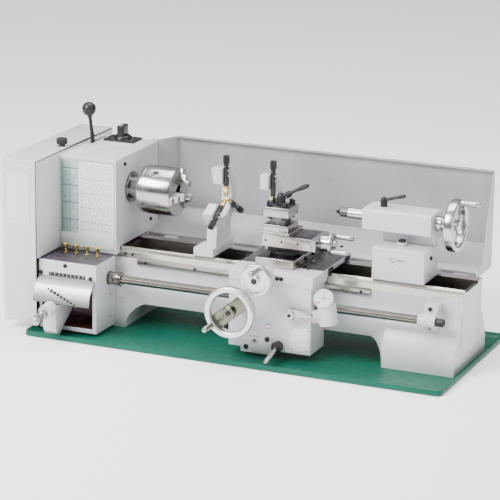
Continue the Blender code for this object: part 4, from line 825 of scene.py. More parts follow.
def chuck(settings):
    segments = settings.segments
    with Piece("spindle_nose", "nose", "spindle", "spindle") as bm:
        profile = [
            (0, 0.01), (0, 0.0295), (0.0008, 0.0305), (0.0028, 0.0305), (0.0035, 0.0298), (0.0036, 0.024),
            (0.02, 0.024), (0.0203, 0.0225), (0.029, 0.0225), (0.029, 0.01),
        ]
        add_turned(bm, profile, (-0.2747, 0, AXIS_Z), RIGHT, segments)
        profile = [(0, 0.01), (0, 0.0192), (0.0008, 0.02), (0.1963, 0.02), (0.1963, 0.01)]
        add_turned(bm, profile, (-0.471, 0, AXIS_Z), RIGHT, segments)
    with Piece("chuck_plate", "chuck", "spindle", "chuck_backplate") as bm:
        profile = [
            (0, 0.024), (0, 0.0455), (0.0016, 0.0482), (0.004, 0.0493), (0.0108, 0.0495), (0.0116, 0.049),
            (0.0117, 0.024),
        ]
        add_turned(bm, profile, (-0.2455, 0, AXIS_Z), RIGHT, segments)
    with Piece("chuck_bolts", "oxide", "spindle") as bm:
        for index in range(3):
            angle = math.radians(40 + 120 * index)
            y, z = 0.034 * math.cos(angle), AXIS_Z + 0.034 * math.sin(angle)
            add_cap_screw(bm, (-0.2454, y, z), LEFT, 0.0036, 0.004)
    body = bmesh.new()
    profile = [
        (0, 0.0102), (0, 0.0486), (0.0007, 0.0498), (0.006, 0.05), (0.0068, 0.0493), (0.0082, 0.0493),
        (0.009, 0.05), (0.0606, 0.05), (0.0626, 0.0492), (0.0635, 0.0476), (0.0635, 0.024),
        (0.0628, 0.0235), (0.0628, 0.013), (0.0613, 0.0102),
    ]
    add_turned(body, profile, (CHUCK_BACK, 0, AXIS_Z), RIGHT, segments)
    cutters = []
    for angle in (193.0, 313.0, 73.0):
        slot = bmesh.new()
        outline = [
            (-0.1903, -0.0072), (-0.1903, 0.0072), (-0.1845, 0.0072), (-0.1845, 0.0098), (-0.179, 0.0098),
            (-0.179, 0.0072), (-0.15, 0.0072), (-0.15, -0.0072), (-0.179, -0.0072), (-0.179, -0.0098),
            (-0.1845, -0.0098), (-0.1845, -0.0072),
        ]
        extrude(slot, slot.faces.new([slot.verts.new((x, 0.006, z)) for x, z in outline]), (0, 0.06, 0))
        slot.transform(Matrix.Translation((0, 0, AXIS_Z)) @ Matrix.Rotation(math.radians(angle), 4, "X"))
        place = Matrix.Translation((-0.2075, 0, AXIS_Z)) @ Matrix.Rotation(math.radians(angle - 67.0), 4, "X")
        key, square = bmesh.new(), bmesh.new()
        add_turned(key, [(0, 0), (0, 0.008), (0.02, 0.008), (0.02, 0)], (0, 0.045, 0), BACK, 48)
        add_box(square, (-0.0046, 0.034, -0.0046), (0.0046, 0.06, 0.0046), 0.0)
        key.transform(place)
        square.transform(place)
        cutters += [slot, key, square]
    emit(cut_with(body, cutters), "chuck_shell", "chuck", "spindle", "chuck_body", angle=25.0)
    for number in (1, 2, 3):
        soften(f"chuck_jaw_{number}", "steel_x", f"jaw_{number}", 0.0005, 2)


def drive(settings):
    for node, body in (
        ("spindle_bearing_front", "frame"), ("spindle_bearing_rear", "frame"), ("gear_banjo", "frame"),
        ("spindle_gear", "spindle"), ("idler_gear", "idler"), ("leadscrew_gear", "leadscrew"),
        ("gearbox_cone", "leadscrew"), ("rack_pinion", "pinion"),
    ):
        soften(node, "steel_x", body, 0.0003, 1, 0.001)
    soften("drive_belt", "rubber", "frame", 0.0008, 2, name="belt", slot="belt_rubber")
    for centre, radius, node, body in (
        ((0, 0, AXIS_Z), 0.045, "spindle_pulley", "spindle"),
        (MOTOR_LINE, 0.022, "motor_pulley", "motor_shaft"),
    ):
        with Piece(node + "_shape", "steel_x", body, node) as bm:
            inner = 0.0203 if node == "spindle_pulley" else 0.0
            profile = [
                (-0.454, inner), (-0.454, radius - 0.001), (-0.453, radius), (-0.4515, radius),
                (-0.4505, radius - 0.0006), (-0.4375, radius - 0.0006), (-0.4365, radius), (-0.435, radius),
                (-0.434, radius - 0.001),
            ]
            if inner:
                profile += [(-0.434, inner)]
            else:
                profile += [(-0.434, 0.009), (-0.3963, 0.009), (-0.3963, 0)]
            add_turned(bm, profile, centre, RIGHT, 64)
    motor(settings)


def motor(settings):
    with Piece("motor_shell", "paint_dark", "frame", "motor") as bm:
        profile = [
            (-0.396, 0), (-0.396, 0.03), (-0.394, 0.042), (-0.388, 0.049), (-0.38, 0.05), (-0.272, 0.05),
            (-0.264, 0.049), (-0.258, 0.042), (-0.256, 0.03), (-0.256, 0),
        ]
        add_turned(bm, profile, MOTOR_LINE, RIGHT, 64)
        add_box(bm, (-0.366, 0.0573, 0.113), (-0.286, 0.1, 0.138), 0.0015)
        add_box(bm, (-0.352, 0.1, 0.14), (-0.3, 0.15, 0.1585), 0.002)
    with Piece("motor_fins", "paint_dark", "frame", repeat=in_row(18, (0.006, 0, 0))) as bm:
        fin = [(-0.378, 0.047), (-0.378, 0.0518), (-0.3762, 0.0518), (-0.3762, 0.047)]
        add_turned(bm, fin, MOTOR_LINE, RIGHT, 64)
    with Piece("gland", "black", "frame", "cord_gland") as bm:
        profile = [
            (0, 0), (0, 0.012), (0.0035, 0.012), (0.004, 0.0115), (0.004, 0.009), (0.016, 0.0068),
            (0.016, 0.0042), (0.008, 0.004), (0.008, 0),
        ]
        add_turned(bm, profile, (-0.34, 0.1234, 0.215), BACK, 40)
        add_hex(bm, (-0.34, 0.1236, 0.215), BACK, 0.0118, 0.0032)


# ---- feed gearbox

PLATE_PROFILE = ((-0.1665, 0.1193), (-0.1785, 0.1093), (-0.1895, 0.0963), (-0.1965, 0.072))


def plate_point(share):
    """A point on the bowed plate's outer face this share of the way down, and the outward normal."""
    lengths = [math.dist(a, b) for a, b in zip(PLATE_PROFILE, PLATE_PROFILE[1:])]
    left = share * sum(lengths)
    for (a, b), length in zip(zip(PLATE_PROFILE, PLATE_PROFILE[1:]), lengths):
        if left <= length or b == PLATE_PROFILE[-1]:
            t = left / length
            y, z = a[0] + (b[0] - a[0]) * t, a[1] + (b[1] - a[1]) * t
            return (y, z), Vector((0, (b[1] - a[1]) / length, -(b[0] - a[0]) / length)).normalized()
        left -= length


def gearbox(settings):
    piece = soften("gearbox_housing", ("paint", "inside", "gearbox_top_reflection"), "frame", settings.edge * 2.4, 3,
        0.03)

    # Upward faces on the gearbox's top take the dark painted reflection.
    def finish_of(centre, normal):
        if centre.z > 0.1515 and normal.z > 0.95:
            return 2
        return int(-0.3985 < centre.x < -0.28 and -0.16 < centre.y < -0.08 and 0.0135 < centre.z < 0.1465)

    paint_faces(piece, finish_of)
    soften("gearbox_face_plate", "face", "frame", 0.0004, 1)
    holes, rims = bmesh.new(), bmesh.new()
    for number in range(9):
        share = number / 8
        x = -0.37 + 0.0625 * share
        (y, z), normal = plate_point(0.52 + 0.44 * share)
        at = Vector((x, y, z)) + normal * 0.00005
        add_turned(rims, [(0, 0.0028), (0, 0.004), (0.0003, 0.0038), (0.0003, 0.0029)], at, normal, 24)
        add_turned(holes, [(0, 0), (0, 0.003), (0.00012, 0.0029), (0.00012, 0)], at, normal, 24)
    emit(rims, "index_rims", "steel_y", "frame")
    emit(holes, "index_holes", "mark", "frame")
    with Piece("number_strip", "oxide", "frame", slot="ground_steel") as bm:
        add_box(bm, (-0.381, -0.1648, 0.12), (-0.299, -0.1638, 0.1272), 0.0003)
    for number in range(9):
        place = facing((-0.3765 + 0.009 * number, -0.1649, 0.1236), FRONT, UP)
        lettering(str(number + 1), f"strip_figure_{number + 1}", 0.0056, place, "white", "frame",
            slot="black_steel")
    with Piece("gearbox_screws", "oxide", "frame") as bm:
        for x, z in ((-0.3438, 0.1437), (-0.3985, 0.1243), (-0.2873, 0.1231)):
            add_cap_screw(bm, (x, -0.1641, z), FRONT, 0.0042, 0.0028)
    with Piece("gearbox_side_screws", "steel_y", "frame") as bm:
        for z in (0.03, 0.076):
            add_cap_screw(bm, (-0.2751, -0.1, z), RIGHT, 0.0032, 0.0012)
    with Piece("oil_cups", "brass", "frame", repeat=in_row(4, (0.024, 0, 0))) as bm:
        profile = [
            (0, 0), (0, 0.0045), (0.0018, 0.0048), (0.0022, 0.003), (0.008, 0.0028), (0.01, 0.0042),
            (0.015, 0.0062), (0.0185, 0.0066), (0.019, 0.0062), (0.0188, 0.0054), (0.0125, 0.003),
            (0.0125, 0),
        ]
        add_turned(bm, profile, (-0.376, -0.1, 0.1518), UP, 40)
    tumbler(settings)


def tumbler_line(distance):
    tilt = math.radians(8.0)
    return Vector((-0.359, -0.182 - distance * math.cos(tilt), 0.066 - distance * math.sin(tilt)))


def tumbler(settings):
    soften("tumbler_lever", "paint", "tumbler", 0.0012, 2, 0.006)
    with Piece("plunger_grip", "plate", "plunger", "tumbler_plunger", slot="ground_steel") as bm:
        unit = tumbler_line(1) - tumbler_line(0)
        add_turned(bm, [(0, 0), (0, 0.0064), (0.032, 0.0064), (0.032, 0)], tumbler_line(0.024), unit, 40)
        profile = [
            (0, 0), (0, 0.0088), (0.0012, 0.0098), (0.003, 0.0102), (0.008, 0.0102), (0.0095, 0.0092),
            (0.011, 0.0078), (0.014, 0.0076), (0.014, 0),
        ]
        add_turned(bm, profile, tumbler_line(0.05), unit, 48)
        profile = [(0, 0), (0, 0.0068), (0.0012, 0.0075), (0.0045, 0.0082), (0.006, 0.008), (0.0064, 0)]
        add_turned(bm, profile, tumbler_line(0.064), unit, 48)
        add_knurl(bm, tumbler_line(0.0702), unit, 0.0098, 0.015, 36, 0.0005)
        profile = [(0, 0), (0, 0.0078), (0.0022, 0.0078), (0.004, 0.006), (0.0045, 0.003), (0.0048, 0)]
        add_turned(bm, profile, tumbler_line(0.085), unit, 48)


# ---- leadscrew


def leadscrew(settings):
    centre = Vector(SCREW_LINE)
    with Piece("leadscrew_ends", "screw", "leadscrew", "leadscrew") as bm:
        profile = [
            (-0.423, 0), (-0.423, 0.0085), (-0.4225, 0.009), (-0.2747, 0.009), (-0.2747, 0.0128),
            (-0.274, 0.014), (-0.2705, 0.014), (-0.2702, 0.0132), (-0.2512, 0.0132), (-0.2509, 0.014),
            (-0.2465, 0.014), (-0.2457, 0.013), (-0.2457, 0.007), (-0.2457, 0),
        ]
        add_turned(bm, profile, centre, RIGHT, 48)
        add_turned(bm, [(0.3865, 0), (0.3865, 0.0058), (0.4235, 0.0058), (0.4235, 0)], centre, RIGHT, 48)
    with Piece("coupling_rings", "oxide", "leadscrew") as bm:
        for x in (-0.2748, -0.251):
            ring = [
                (0, 0.0125), (0, 0.0137), (0.0007, 0.01405), (0.0034, 0.01405), (0.0041, 0.0137),
                (0.0041, 0.0125),
            ]
            add_turned(bm, ring, (x, centre.y, centre.z), RIGHT, 48)
    with Piece("leadscrew_collar", "oxide", "leadscrew") as bm:
        profile = [
            (0.423, 0), (0.423, 0.0075), (0.4238, 0.008), (0.438, 0.008), (0.439, 0.0071), (0.439, 0.0038),
        ]
        add_turned(bm, profile + [(0.4365, 0.0034), (0.4365, 0)], centre, RIGHT, 48)
    with Piece("coupling_pin", "oxide", "leadscrew") as bm:
        add_rod(bm, (-0.2605, -0.1184, 0.112), (-0.2605, -0.117, 0.112), 0.0026, 16)
    pitch, start, end = 0.0032, -0.2457, 0.387
    segments, rows = 20, 5
    turns = (end - start) / pitch
    heights = (0.0078, 0.009, 0.009, 0.0078, 0.0074)
    with Piece("leadscrew_thread", "screw", "leadscrew", angle=80.0) as bm:
        rings = []
        for row in range(int(turns * rows)):
            ring = []
            for step in range(segments):
                angle = 2 * math.pi * step / segments
                share = (row / rows - step / segments) % 1.0 * rows
                low = int(share) % rows
                radius = heights[low] + (heights[(low + 1) % rows] - heights[low]) * (share % 1.0)
                x = start + row * pitch / rows
                y, z = centre.y + radius * math.cos(angle), centre.z + radius * math.sin(angle)
                ring.append(bm.verts.new((x, y, z)))
            rings.append(ring)
        add_skin(bm, rings)
    soften("leadscrew_bracket", "paint", "frame", 0.0018, 3, 0.008)
    with Piece("bracket_screws", "oxide", "frame") as bm:
        add_cap_screw(bm, (0.4045, -0.0879, 0.1312), FRONT, 0.0042, 0.003)
        add_cap_screw(bm, (0.406, -0.093, 0.0945), (0, -0.9, -0.4), 0.0036, 0.002)


# ---- carriage


def carriage(settings):
    bm = cad_shape("saddle")
    split_plane(bm, (0, -0.078, 0), BACK)
    rounded(bm, list(bm.faces), settings.edge * 1.6, 3, 0.012)
    piece = emit(bm, "saddle_casting", ("paint", "top_reflection_shade"), "carriage", "saddle")
    # The saddle's rear upward faces take the dark painted reflection and shade.
    paint_faces(piece, lambda centre, normal: int(normal.z > 0.9 and centre.z > 0.1758 and centre.y > -0.078))
    soften("apron", "paint", "carriage", settings.edge * 1.6, 3, 0.012)
    low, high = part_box("saddle")
    with Piece("way_wipers", "rubber", "carriage") as bm:
        for x, way in ((low.x - 0.0028, 1), (high.x - 0.0002, -1)):
            for start, end in ((-0.056, -0.034), (0.034, 0.056)):
                add_box(bm, (x, start, 0.1662), (x + 0.003, end, 0.1752), 0.0006)
    with Piece("carriage_screws", "oxide", "carriage") as bm:
        for x in (0.018, 0.162):
            for y in (-0.118, -0.08, 0.06):
                add_cap_screw(bm, (x, y, high.z - 0.0002), UP, 0.0036, 0.0022)
        for x, z in ((0.042, 0.0205), (0.087, 0.041)):
            add_cap_screw(bm, (x, -0.1391, z), FRONT, 0.0052, 0.0018)
        add_cap_screw(bm, (0.061, -0.1405, 0.0375), FRONT, 0.0024, 0.001)
        for x in (0.105, 0.1135):
            add_cap_screw(bm, (x, APRON_FRONT, 0.1665), FRONT, 0.0042, 0.0026)
        for x, z in ((0.1385, 0.0275), (0.1705, 0.0275), (0.1385, 0.0685), (0.1705, 0.0685)):
            add_cap_screw(bm, (x, -0.136, z), FRONT, 0.0014, 0.0006)
    with Piece("oil_plugs", "steel_y", "carriage") as bm:
        add_rod(bm, (0.087, -0.1345, 0.067), (0.087, -0.1372, 0.067), 0.0058, 32)
        add_rod(bm, (0.061, -0.1385, 0.0375), (0.061, -0.1406, 0.0375), 0.007, 32)
        for x in (0.024, 0.15):
            add_rod(bm, (x, -0.06, high.z - 0.0005), (x, -0.06, high.z + 0.0008), 0.0026, 20)
    with Piece("apron_plate", "white", "carriage", slot="machine_paint") as bm:
        add_box(bm, (0.135, -0.1361, 0.024), (0.174, -0.1349, 0.072), 0.0003)
    apron_controls(settings)
    wheels(settings)


def apron_controls(settings):
    with Piece("half_nut_handle", "plate", "half_nut", "half_nut_lever") as bm:
        profile = [(0, 0), (0, 0.01), (0.001, 0.0106), (0.0185, 0.0106), (0.02, 0.0094), (0.02, 0)]
        add_turned(bm, profile, (HALF_NUT_X, -0.1353, HALF_NUT_Z), FRONT, 48)
        outline = [
            (0.134, 0.1135), (0.151, 0.112), (0.1835, 0.107), (0.1855, 0.105), (0.1855, 0.102),
            (0.184, 0.1002), (0.151, 0.095), (0.135, 0.0945),
        ]
        add_prism(bm, outline, "Y", -0.152, -0.144, 0.0014, 3)
    with Piece("half_nut_screw", "oxide", "half_nut") as bm:
        add_cap_screw(bm, (HALF_NUT_X, -0.1552, HALF_NUT_Z), FRONT, 0.0036, 0.0012)
    with Piece("feed_hub", "oxide", "feed", "feed_lever") as bm:
        profile = [(0, 0), (0, 0.0098), (0.001, 0.0105), (0.0145, 0.0105), (0.0158, 0.0092), (0.0158, 0)]
        add_turned(bm, profile, (0.11, -0.1353, 0.03), FRONT, 48)
    with Piece("feed_handle", "plate", "feed") as bm:
        start, end = Vector((0.11, -0.147, 0.03)), Vector((0.109, -0.201, 0.012))
        profile = [(0, 0), (0, 0.0036), (0.012, 0.0042), (0.034, 0.0054), (0.05, 0.0056), (0.0545, 0.0046)]
        add_turned(bm, profile + [(0.0568, 0.002), (0.0572, 0)], start, end - start, 32)
    threading_dial(settings)


def threading_dial(settings):
    face, normal, radius = Vector((0.207, -0.147, 0.143)), Vector((0.15, -0.8, 0.58)).normalized(), 0.0195
    inward = -normal
    top, low = Vector((0.2085, -0.1345, 0.129)), Vector((0.2155, -0.1365, 0.087))
    with Piece("threading_dial_housing", "paint", "carriage", "threading_dial") as bm:
        profile = [
            (0.001, 0), (0.001, radius * 0.86), (0, radius * 0.89), (0, radius - 0.001), (0.0008, radius),
            (0.0072, radius), (0.008, radius * 0.95), (0.0086, radius * 0.66), (0.0168, radius * 0.64),
            (0.0168, 0),
        ]
        add_turned(bm, profile, face, inward, 64)
        length, wide = (low - top).length, radius * 0.95
        profile = [(0, 0), (0, wide * 0.72), (0.0012, wide * 0.9), (0.004, wide), (length - 0.003, wide)]
        profile += [(length - 0.0008, wide * 0.96), (length, wide * 0.88), (length, 0)]
        add_turned(bm, profile, top, low - top, 64)
        add_box(bm, (0.1773, -0.1348, 0.086), (0.2115, -0.1195, 0.11), 0.0015, 3)
    with Piece("dial_face", "silver", "carriage") as bm:
        add_turned(bm, [(0, 0), (0, 0.0166), (0.001, 0.0166), (0.001, 0)], face + inward * 0.0006, inward, 64)
    with Piece("dial_screw", "steel_x", "carriage", slot="black_steel") as bm:
        add_cap_screw(bm, face + inward * 0.0007, normal, 0.003, 0.0014)
    upright = facing(face + inward * 0.0005, normal, UP)
    with Piece("dial_marks", "mark", "carriage", repeat=in_circle(12, normal, face)) as bm:
        add_box(bm, (-0.0003, 0.012, -0.0001), (0.0003, 0.0162, 0.0001), 0.0)
        bm.transform(upright)
    for number in range(4):
        turn = Matrix.Rotation(-math.pi / 2 * number, 4, "Z")
        place = upright @ turn @ Matrix.Translation((0, 0.0083, 0))
        lettering(str(number + 1), f"dial_figure_{number + 1}", 0.0052, place, "mark", "carriage")
    with Piece("dial_red_mark", "red", "carriage") as bm:
        add_box(bm, (-0.0155, -0.0022, -0.0001), (-0.0085, 0.0008, 0.00015), 0.0)
        bm.transform(upright @ Matrix.Rotation(math.radians(42), 4, "Z"))


def add_rim(bm, place, direction, radius, depth, wall, segments=96):
    """A wheel's rim with rounded corners, from its front face back along the direction."""
    bend = min(depth, wall) * 0.34
    profile = []
    for distance, reach, start in (
        (bend, radius - bend, 180), (depth - bend, radius - bend, 90),
        (depth - bend, radius - wall + bend, 0), (bend, radius - wall + bend, 270),
    ):
        for step in range(5):
            angle = math.radians(start - 90 * step / 4)
            profile.append((distance + bend * math.cos(angle), reach + bend * math.sin(angle)))
    add_turned(bm, profile, place, direction, segments)


def add_handle(bm, start, direction, length, radius):
    """A turned handle: waisted near its root, fuller near its end."""
    shape = (
        (0, 0), (0, 0.62), (0.03, 0.7), (0.06, 0.7), (0.08, 0.95), (0.12, 1.0), (0.35, 0.84), (0.75, 1.0),
        (0.9, 0.94), (0.97, 0.66), (1.0, 0.25), (1.0, 0),
    )
    add_turned(bm, [(share * length, part * radius) for share, part in shape], start, direction, 32)


def dial_marks(name, body, place, axis, centre, size, count):
    """Engraved lines round a dial collar; place is the middle of the first line."""
    with Piece(name, "mark", body, repeat=in_circle(count, axis, centre)) as bm:
        half = Vector(size) / 2
        add_box(bm, Vector(place) - half, Vector(place) + half, 0.0)


def wheels(settings):
    x, front, z = CARRIAGE_WHEEL
    with Piece("carriage_wheel_rim", "wheel", "carriage_wheel", "carriage_handwheel") as bm:
        add_rim(bm, (x, front, z), BACK, 0.052, 0.021, 0.0125, settings.segments)
    with Piece("carriage_wheel_spoke", "wheel_dark", "carriage_wheel") as bm:
        turn = Matrix.Rotation(math.radians(-40.0), 4, "Y")
        low, high = (x - 0.0425, front + 0.0095, z - 0.015), (x + 0.0425, front + 0.0195, z + 0.015)
        add_box(bm, low, high, 0.0015, 3, turn)
        profile = [
            (0, 0), (0, 0.004), (0.0004, 0.0042), (0.0004, 0.0062), (0, 0.0064), (0, 0.0086),
            (0.0006, 0.009), (0.0006, 0.0104), (0, 0.0106), (0.001, 0.0125), (0.012, 0.0125),
            (0.014, 0.0115), (0.0505, 0.0115),
        ]
        add_turned(bm, profile + [(0.0505, 0)], (x, front + 0.0005, z), BACK, 64)
    turn = math.radians(220.0)
    grip = (x + 0.0458 * math.cos(turn), front, z + 0.0458 * math.sin(turn))
    with Piece("carriage_wheel_handle", "plate", "carriage_wheel") as bm:
        add_handle(bm, (grip[0], front + 0.002, grip[2]), FRONT, 0.0378, 0.0062)
    with Piece("carriage_wheel_screw", "oxide", "carriage_wheel") as bm:
        add_cap_screw(bm, (x, front + 0.0004, z), FRONT, 0.0052, 0.0016)
    x, front, z = CROSS_WHEEL
    with Piece("cross_wheel_body", "cross", "cross_wheel", "cross_slide_handwheel") as bm:
        profile = [
            (-0.0058, 0), (-0.0058, 0.0078), (-0.0048, 0.0088), (0, 0.009), (0.0006, 0.01), (0.001, 0.024),
            (0.0, 0.0262), (0, 0.029), (0.0012, 0.031), (0.0026, 0.0315), (0.01, 0.0315), (0.0115, 0.0305),
            (0.012, 0.0285), (0.012, 0.0175), (0.0125, 0.017), (0.0246, 0.017), (0.0246, 0),
        ]
        add_turned(bm, profile, (x, front, z), BACK, settings.segments)
    with Piece("cross_wheel_cap", "oxide", "cross_wheel") as bm:
        add_cap_screw(bm, (x, front - 0.0056, z), FRONT, 0.0066, 0.0008)
    with Piece("cross_wheel_handle", "plate", "cross_wheel") as bm:
        add_handle(bm, (x + 0.006, front + 0.0015, z + 0.022), FRONT, 0.041, 0.0062)
    dial_marks("cross_dial_marks", "cross_wheel", (x, front + 0.0222, z + 0.017), BACK, (x, 0, z),
               (0.00035, 0.004, 0.0003), 50)


# ---- slides and tool post


def slides(settings):
    piece = soften("cross_slide", ("steel_y", "top_reflection_shade"), "cross_slide", 0.001, 2)
    # Upward faces take the dark painted reflection and shade.
    paint_faces(piece, lambda centre, normal: int(normal.z > 0.9))
    soften("compound_base", "oxide", "swivel", 0.0006, 2, 0.003)
    piece = soften("compound_slide", ("steel_y", "top_reflection_shade"), "compound", 0.0012, 3, 0.006)
    # Upward faces take the dark painted reflection and shade.
    paint_faces(piece, lambda centre, normal: int(normal.z > 0.9))
    low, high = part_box("cross_slide")
    with Piece("cross_gib_screws", "oxide", "cross_slide", repeat=in_row(4, (0, 0.04, 0))) as bm:
        add_hex(bm, (high.x - 0.0002, -0.08, 0.1855), RIGHT, 0.0046, 0.0028)
        add_cap_screw(bm, (high.x + 0.0024, -0.08, 0.1855), RIGHT, 0.0022, 0.003)
    low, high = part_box("compound_slide")
    with Piece("compound_gib_screws", "dark_steel", "compound", repeat=in_row(3, (0.034, 0, 0))) as bm:
        add_cap_screw(bm, (low.x + 0.008, low.y + 0.0004, low.z + 0.0125), FRONT, 0.0026, 0.0016)
    with Piece("compound_end_screws", "oxide", "compound") as bm:
        for y in (low.y + 0.008, high.y - 0.008):
            add_cap_screw(bm, (high.x - 0.0002, y, low.z + 0.017), RIGHT, 0.003, 0.0024)
    with Piece("compound_end_plate", "plate", "compound") as bm:
        add_box(bm, (high.x - 0.0105, low.y - 0.0001, low.z - 0.0001),
            (high.x + 0.0001, high.y + 0.0001, low.z + 0.0245), 0.0008)
    x, y, z = high.x + 0.0003, COMPOUND_WHEEL_Y, COMPOUND_WHEEL_Z
    with Piece("compound_wheel_body", "top_wheel", "compound_wheel", "compound_handwheel") as bm:
        profile = [
            (0, 0), (0, 0.016), (0.0006, 0.0165), (0.017, 0.0165), (0.018, 0.0175), (0.0182, 0.0205),
            (0.0192, 0.0218), (0.0226, 0.022), (0.0238, 0.0208), (0.024, 0.009), (0.0245, 0.0082),
            (0.0292, 0.008), (0.03, 0.007), (0.03, 0),
        ]
        add_turned(bm, profile, (x, y, z), RIGHT, settings.segments)
    with Piece("compound_wheel_handles", "plate", "compound_wheel") as bm:
        for side in (1, -1):
            add_handle(bm, (x + 0.023, y + side * 0.0125, z + side * 0.0125), RIGHT, 0.039, 0.0056)
    dial_marks("compound_dial_marks", "compound_wheel", (x + 0.003, y, z + 0.0165), RIGHT, (0, y, z),
               (0.004, 0.00035, 0.0003), 40)
    toolpost(settings)


def toolpost(settings):
    low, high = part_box("toolpost")
    piece = soften("toolpost", ("steel_x", "dark_steel"), "post", 0.001, 2)
    wall = (high.x - low.x) / 2 - 0.006

    # Faces inside the tool slots take the dark steel as painted shade.
    def slot_shade(centre, normal):
        reach = max(abs(centre.x - (low.x + high.x) / 2), abs(centre.y - (low.y + high.y) / 2))
        return int(reach < wall and low.z + 0.01 < centre.z < high.z - 0.005)

    paint_faces(piece, slot_shade)
    with Piece("tool_screws", "oxide", "post") as bm:
        middle = (low + high) / 2
        for index in range(4):
            for offset in (-0.0135, 0.0135):
                turn = index * math.pi / 2
                reach = 0.0205
                x = middle.x + reach * math.cos(turn) - offset * math.sin(turn)
                y = middle.y + reach * math.sin(turn) + offset * math.cos(turn)
                add_rod(bm, (x, y, high.z - 0.025), (x, y, high.z + 0.003), 0.0032, 20)
                head = [(0, 0), (0, 0.0046), (0.0068, 0.0046), (0.0076, 0.0036), (0.0076, 0)]
                add_turned(bm, head, (x, y, high.z + 0.0024), UP, 4, math.pi / 4 + 0.2 * index + 6 * offset)
                collar = [(0, 0), (0, 0.0046), (0.0022, 0.0046), (0.0022, 0)]
                add_turned(bm, collar, (x, y, high.z + 0.0003), UP, 24)
    with Piece("tool_clamp_handle", "oxide", "post_lever", "toolpost_lever") as bm:
        profile = [
            (0, 0), (0, 0.0089), (0.001, 0.0089), (0.014, 0.0088), (0.02, 0.0078), (0.0236, 0.005),
            (0.024, 0),
        ]
        start = Vector((middle.x, middle.y, high.z + 0.0003))
        add_turned(bm, profile, start, UP, 48)
        first, last = start + Vector((0, 0, 0.0165)), start + Vector((0.058, 0.002, 0.0462))
        length = (last - first).length
        shape = [
            (0, 0), (0, 0.0042), (0.01, 0.0038), (length * 0.55, 0.003), (length * 0.62, 0.0036),
            (length * 0.8, 0.0047), (length * 0.94, 0.0043), (length, 0.0015), (length, 0),
        ]
        add_turned(bm, shape, first, last - first, 32)


# ---- rests


def finger_details(name, body, face, angle, bare=0.0252):
    """A finger with a brass tip, its screw and its knurled knob, drawn for +Y and turned."""
    middle = face + 0.0003 + 0.0045
    turn = Matrix.Translation((0, 0, AXIS_Z)) @ Matrix.Rotation(math.radians(angle), 4, "X")
    bar, tip, knob, screws = bmesh.new(), bmesh.new(), bmesh.new(), bmesh.new()
    outline = [(bare, -0.0042), (0.064, -0.0042), (0.064, 0.0042), (bare, 0.0042)]
    add_prism(bar, outline, "X", face + 0.0004, face + 0.0092, 0.0006)
    add_rod(bar, (middle, 0.06, 0), (middle, 0.074, 0), 0.0032, 24)
    outline = [
        (0.0045, -0.001), (0.01, -0.004), (bare, -0.004), (bare, 0.004), (0.01, 0.004), (0.0045, 0.001),
    ]
    add_prism(tip, outline, "X", face + 0.0006, face + 0.009, 0.0006)
    add_rod(knob, (middle, 0.066, 0), (middle, 0.0715, 0), 0.005, 32)
    add_knurl(knob, (middle, 0.0708, 0), BACK, 0.0066, 0.017, 30, 0.0005)
    for offset in (0.046, 0.056):
        add_cap_screw(screws, (face + 0.0091, offset, 0), RIGHT, 0.0024, 0.0022)
    for bm, part, material, slot, node in (
        (bar, "bar", "oxide", "black_steel", [name]), (tip, "tip", "brass", "black_steel", ()),
        (knob, "knob", "oxide", "black_steel", ()), (screws, "screws", "steel_x", "black_steel", ()),
    ):
        bm.transform(turn)
        emit(bm, f"{name}_{part}", material, body, *node, slot=slot)


def rests(settings):
    soften("steady_rest_frame", "paint", "frame", 0.002, 3, 0.009)
    soften("follow_rest_frame", "paint", "carriage", 0.0016, 3, 0.009)
    for number, angle in enumerate((90.0, 210.0, 330.0), 1):
        finger_details(f"steady_rest_finger_{number}", f"steady_{number}", -0.07, angle)
    for number, angle in enumerate((90.0, 0.0), 1):
        finger_details(f"follow_rest_finger_{number}", f"follow_{number}", 0.032, angle, 0.015)
    with Piece("steady_bolt", "oxide", "frame") as bm:
        add_hex(bm, (-0.101, 0.0, 0.1832), UP, 0.0085, 0.0075)
        add_rod(bm, (-0.101, 0.0, 0.183), (-0.101, 0.0, 0.196), 0.0042, 24)


# ---- tailstock


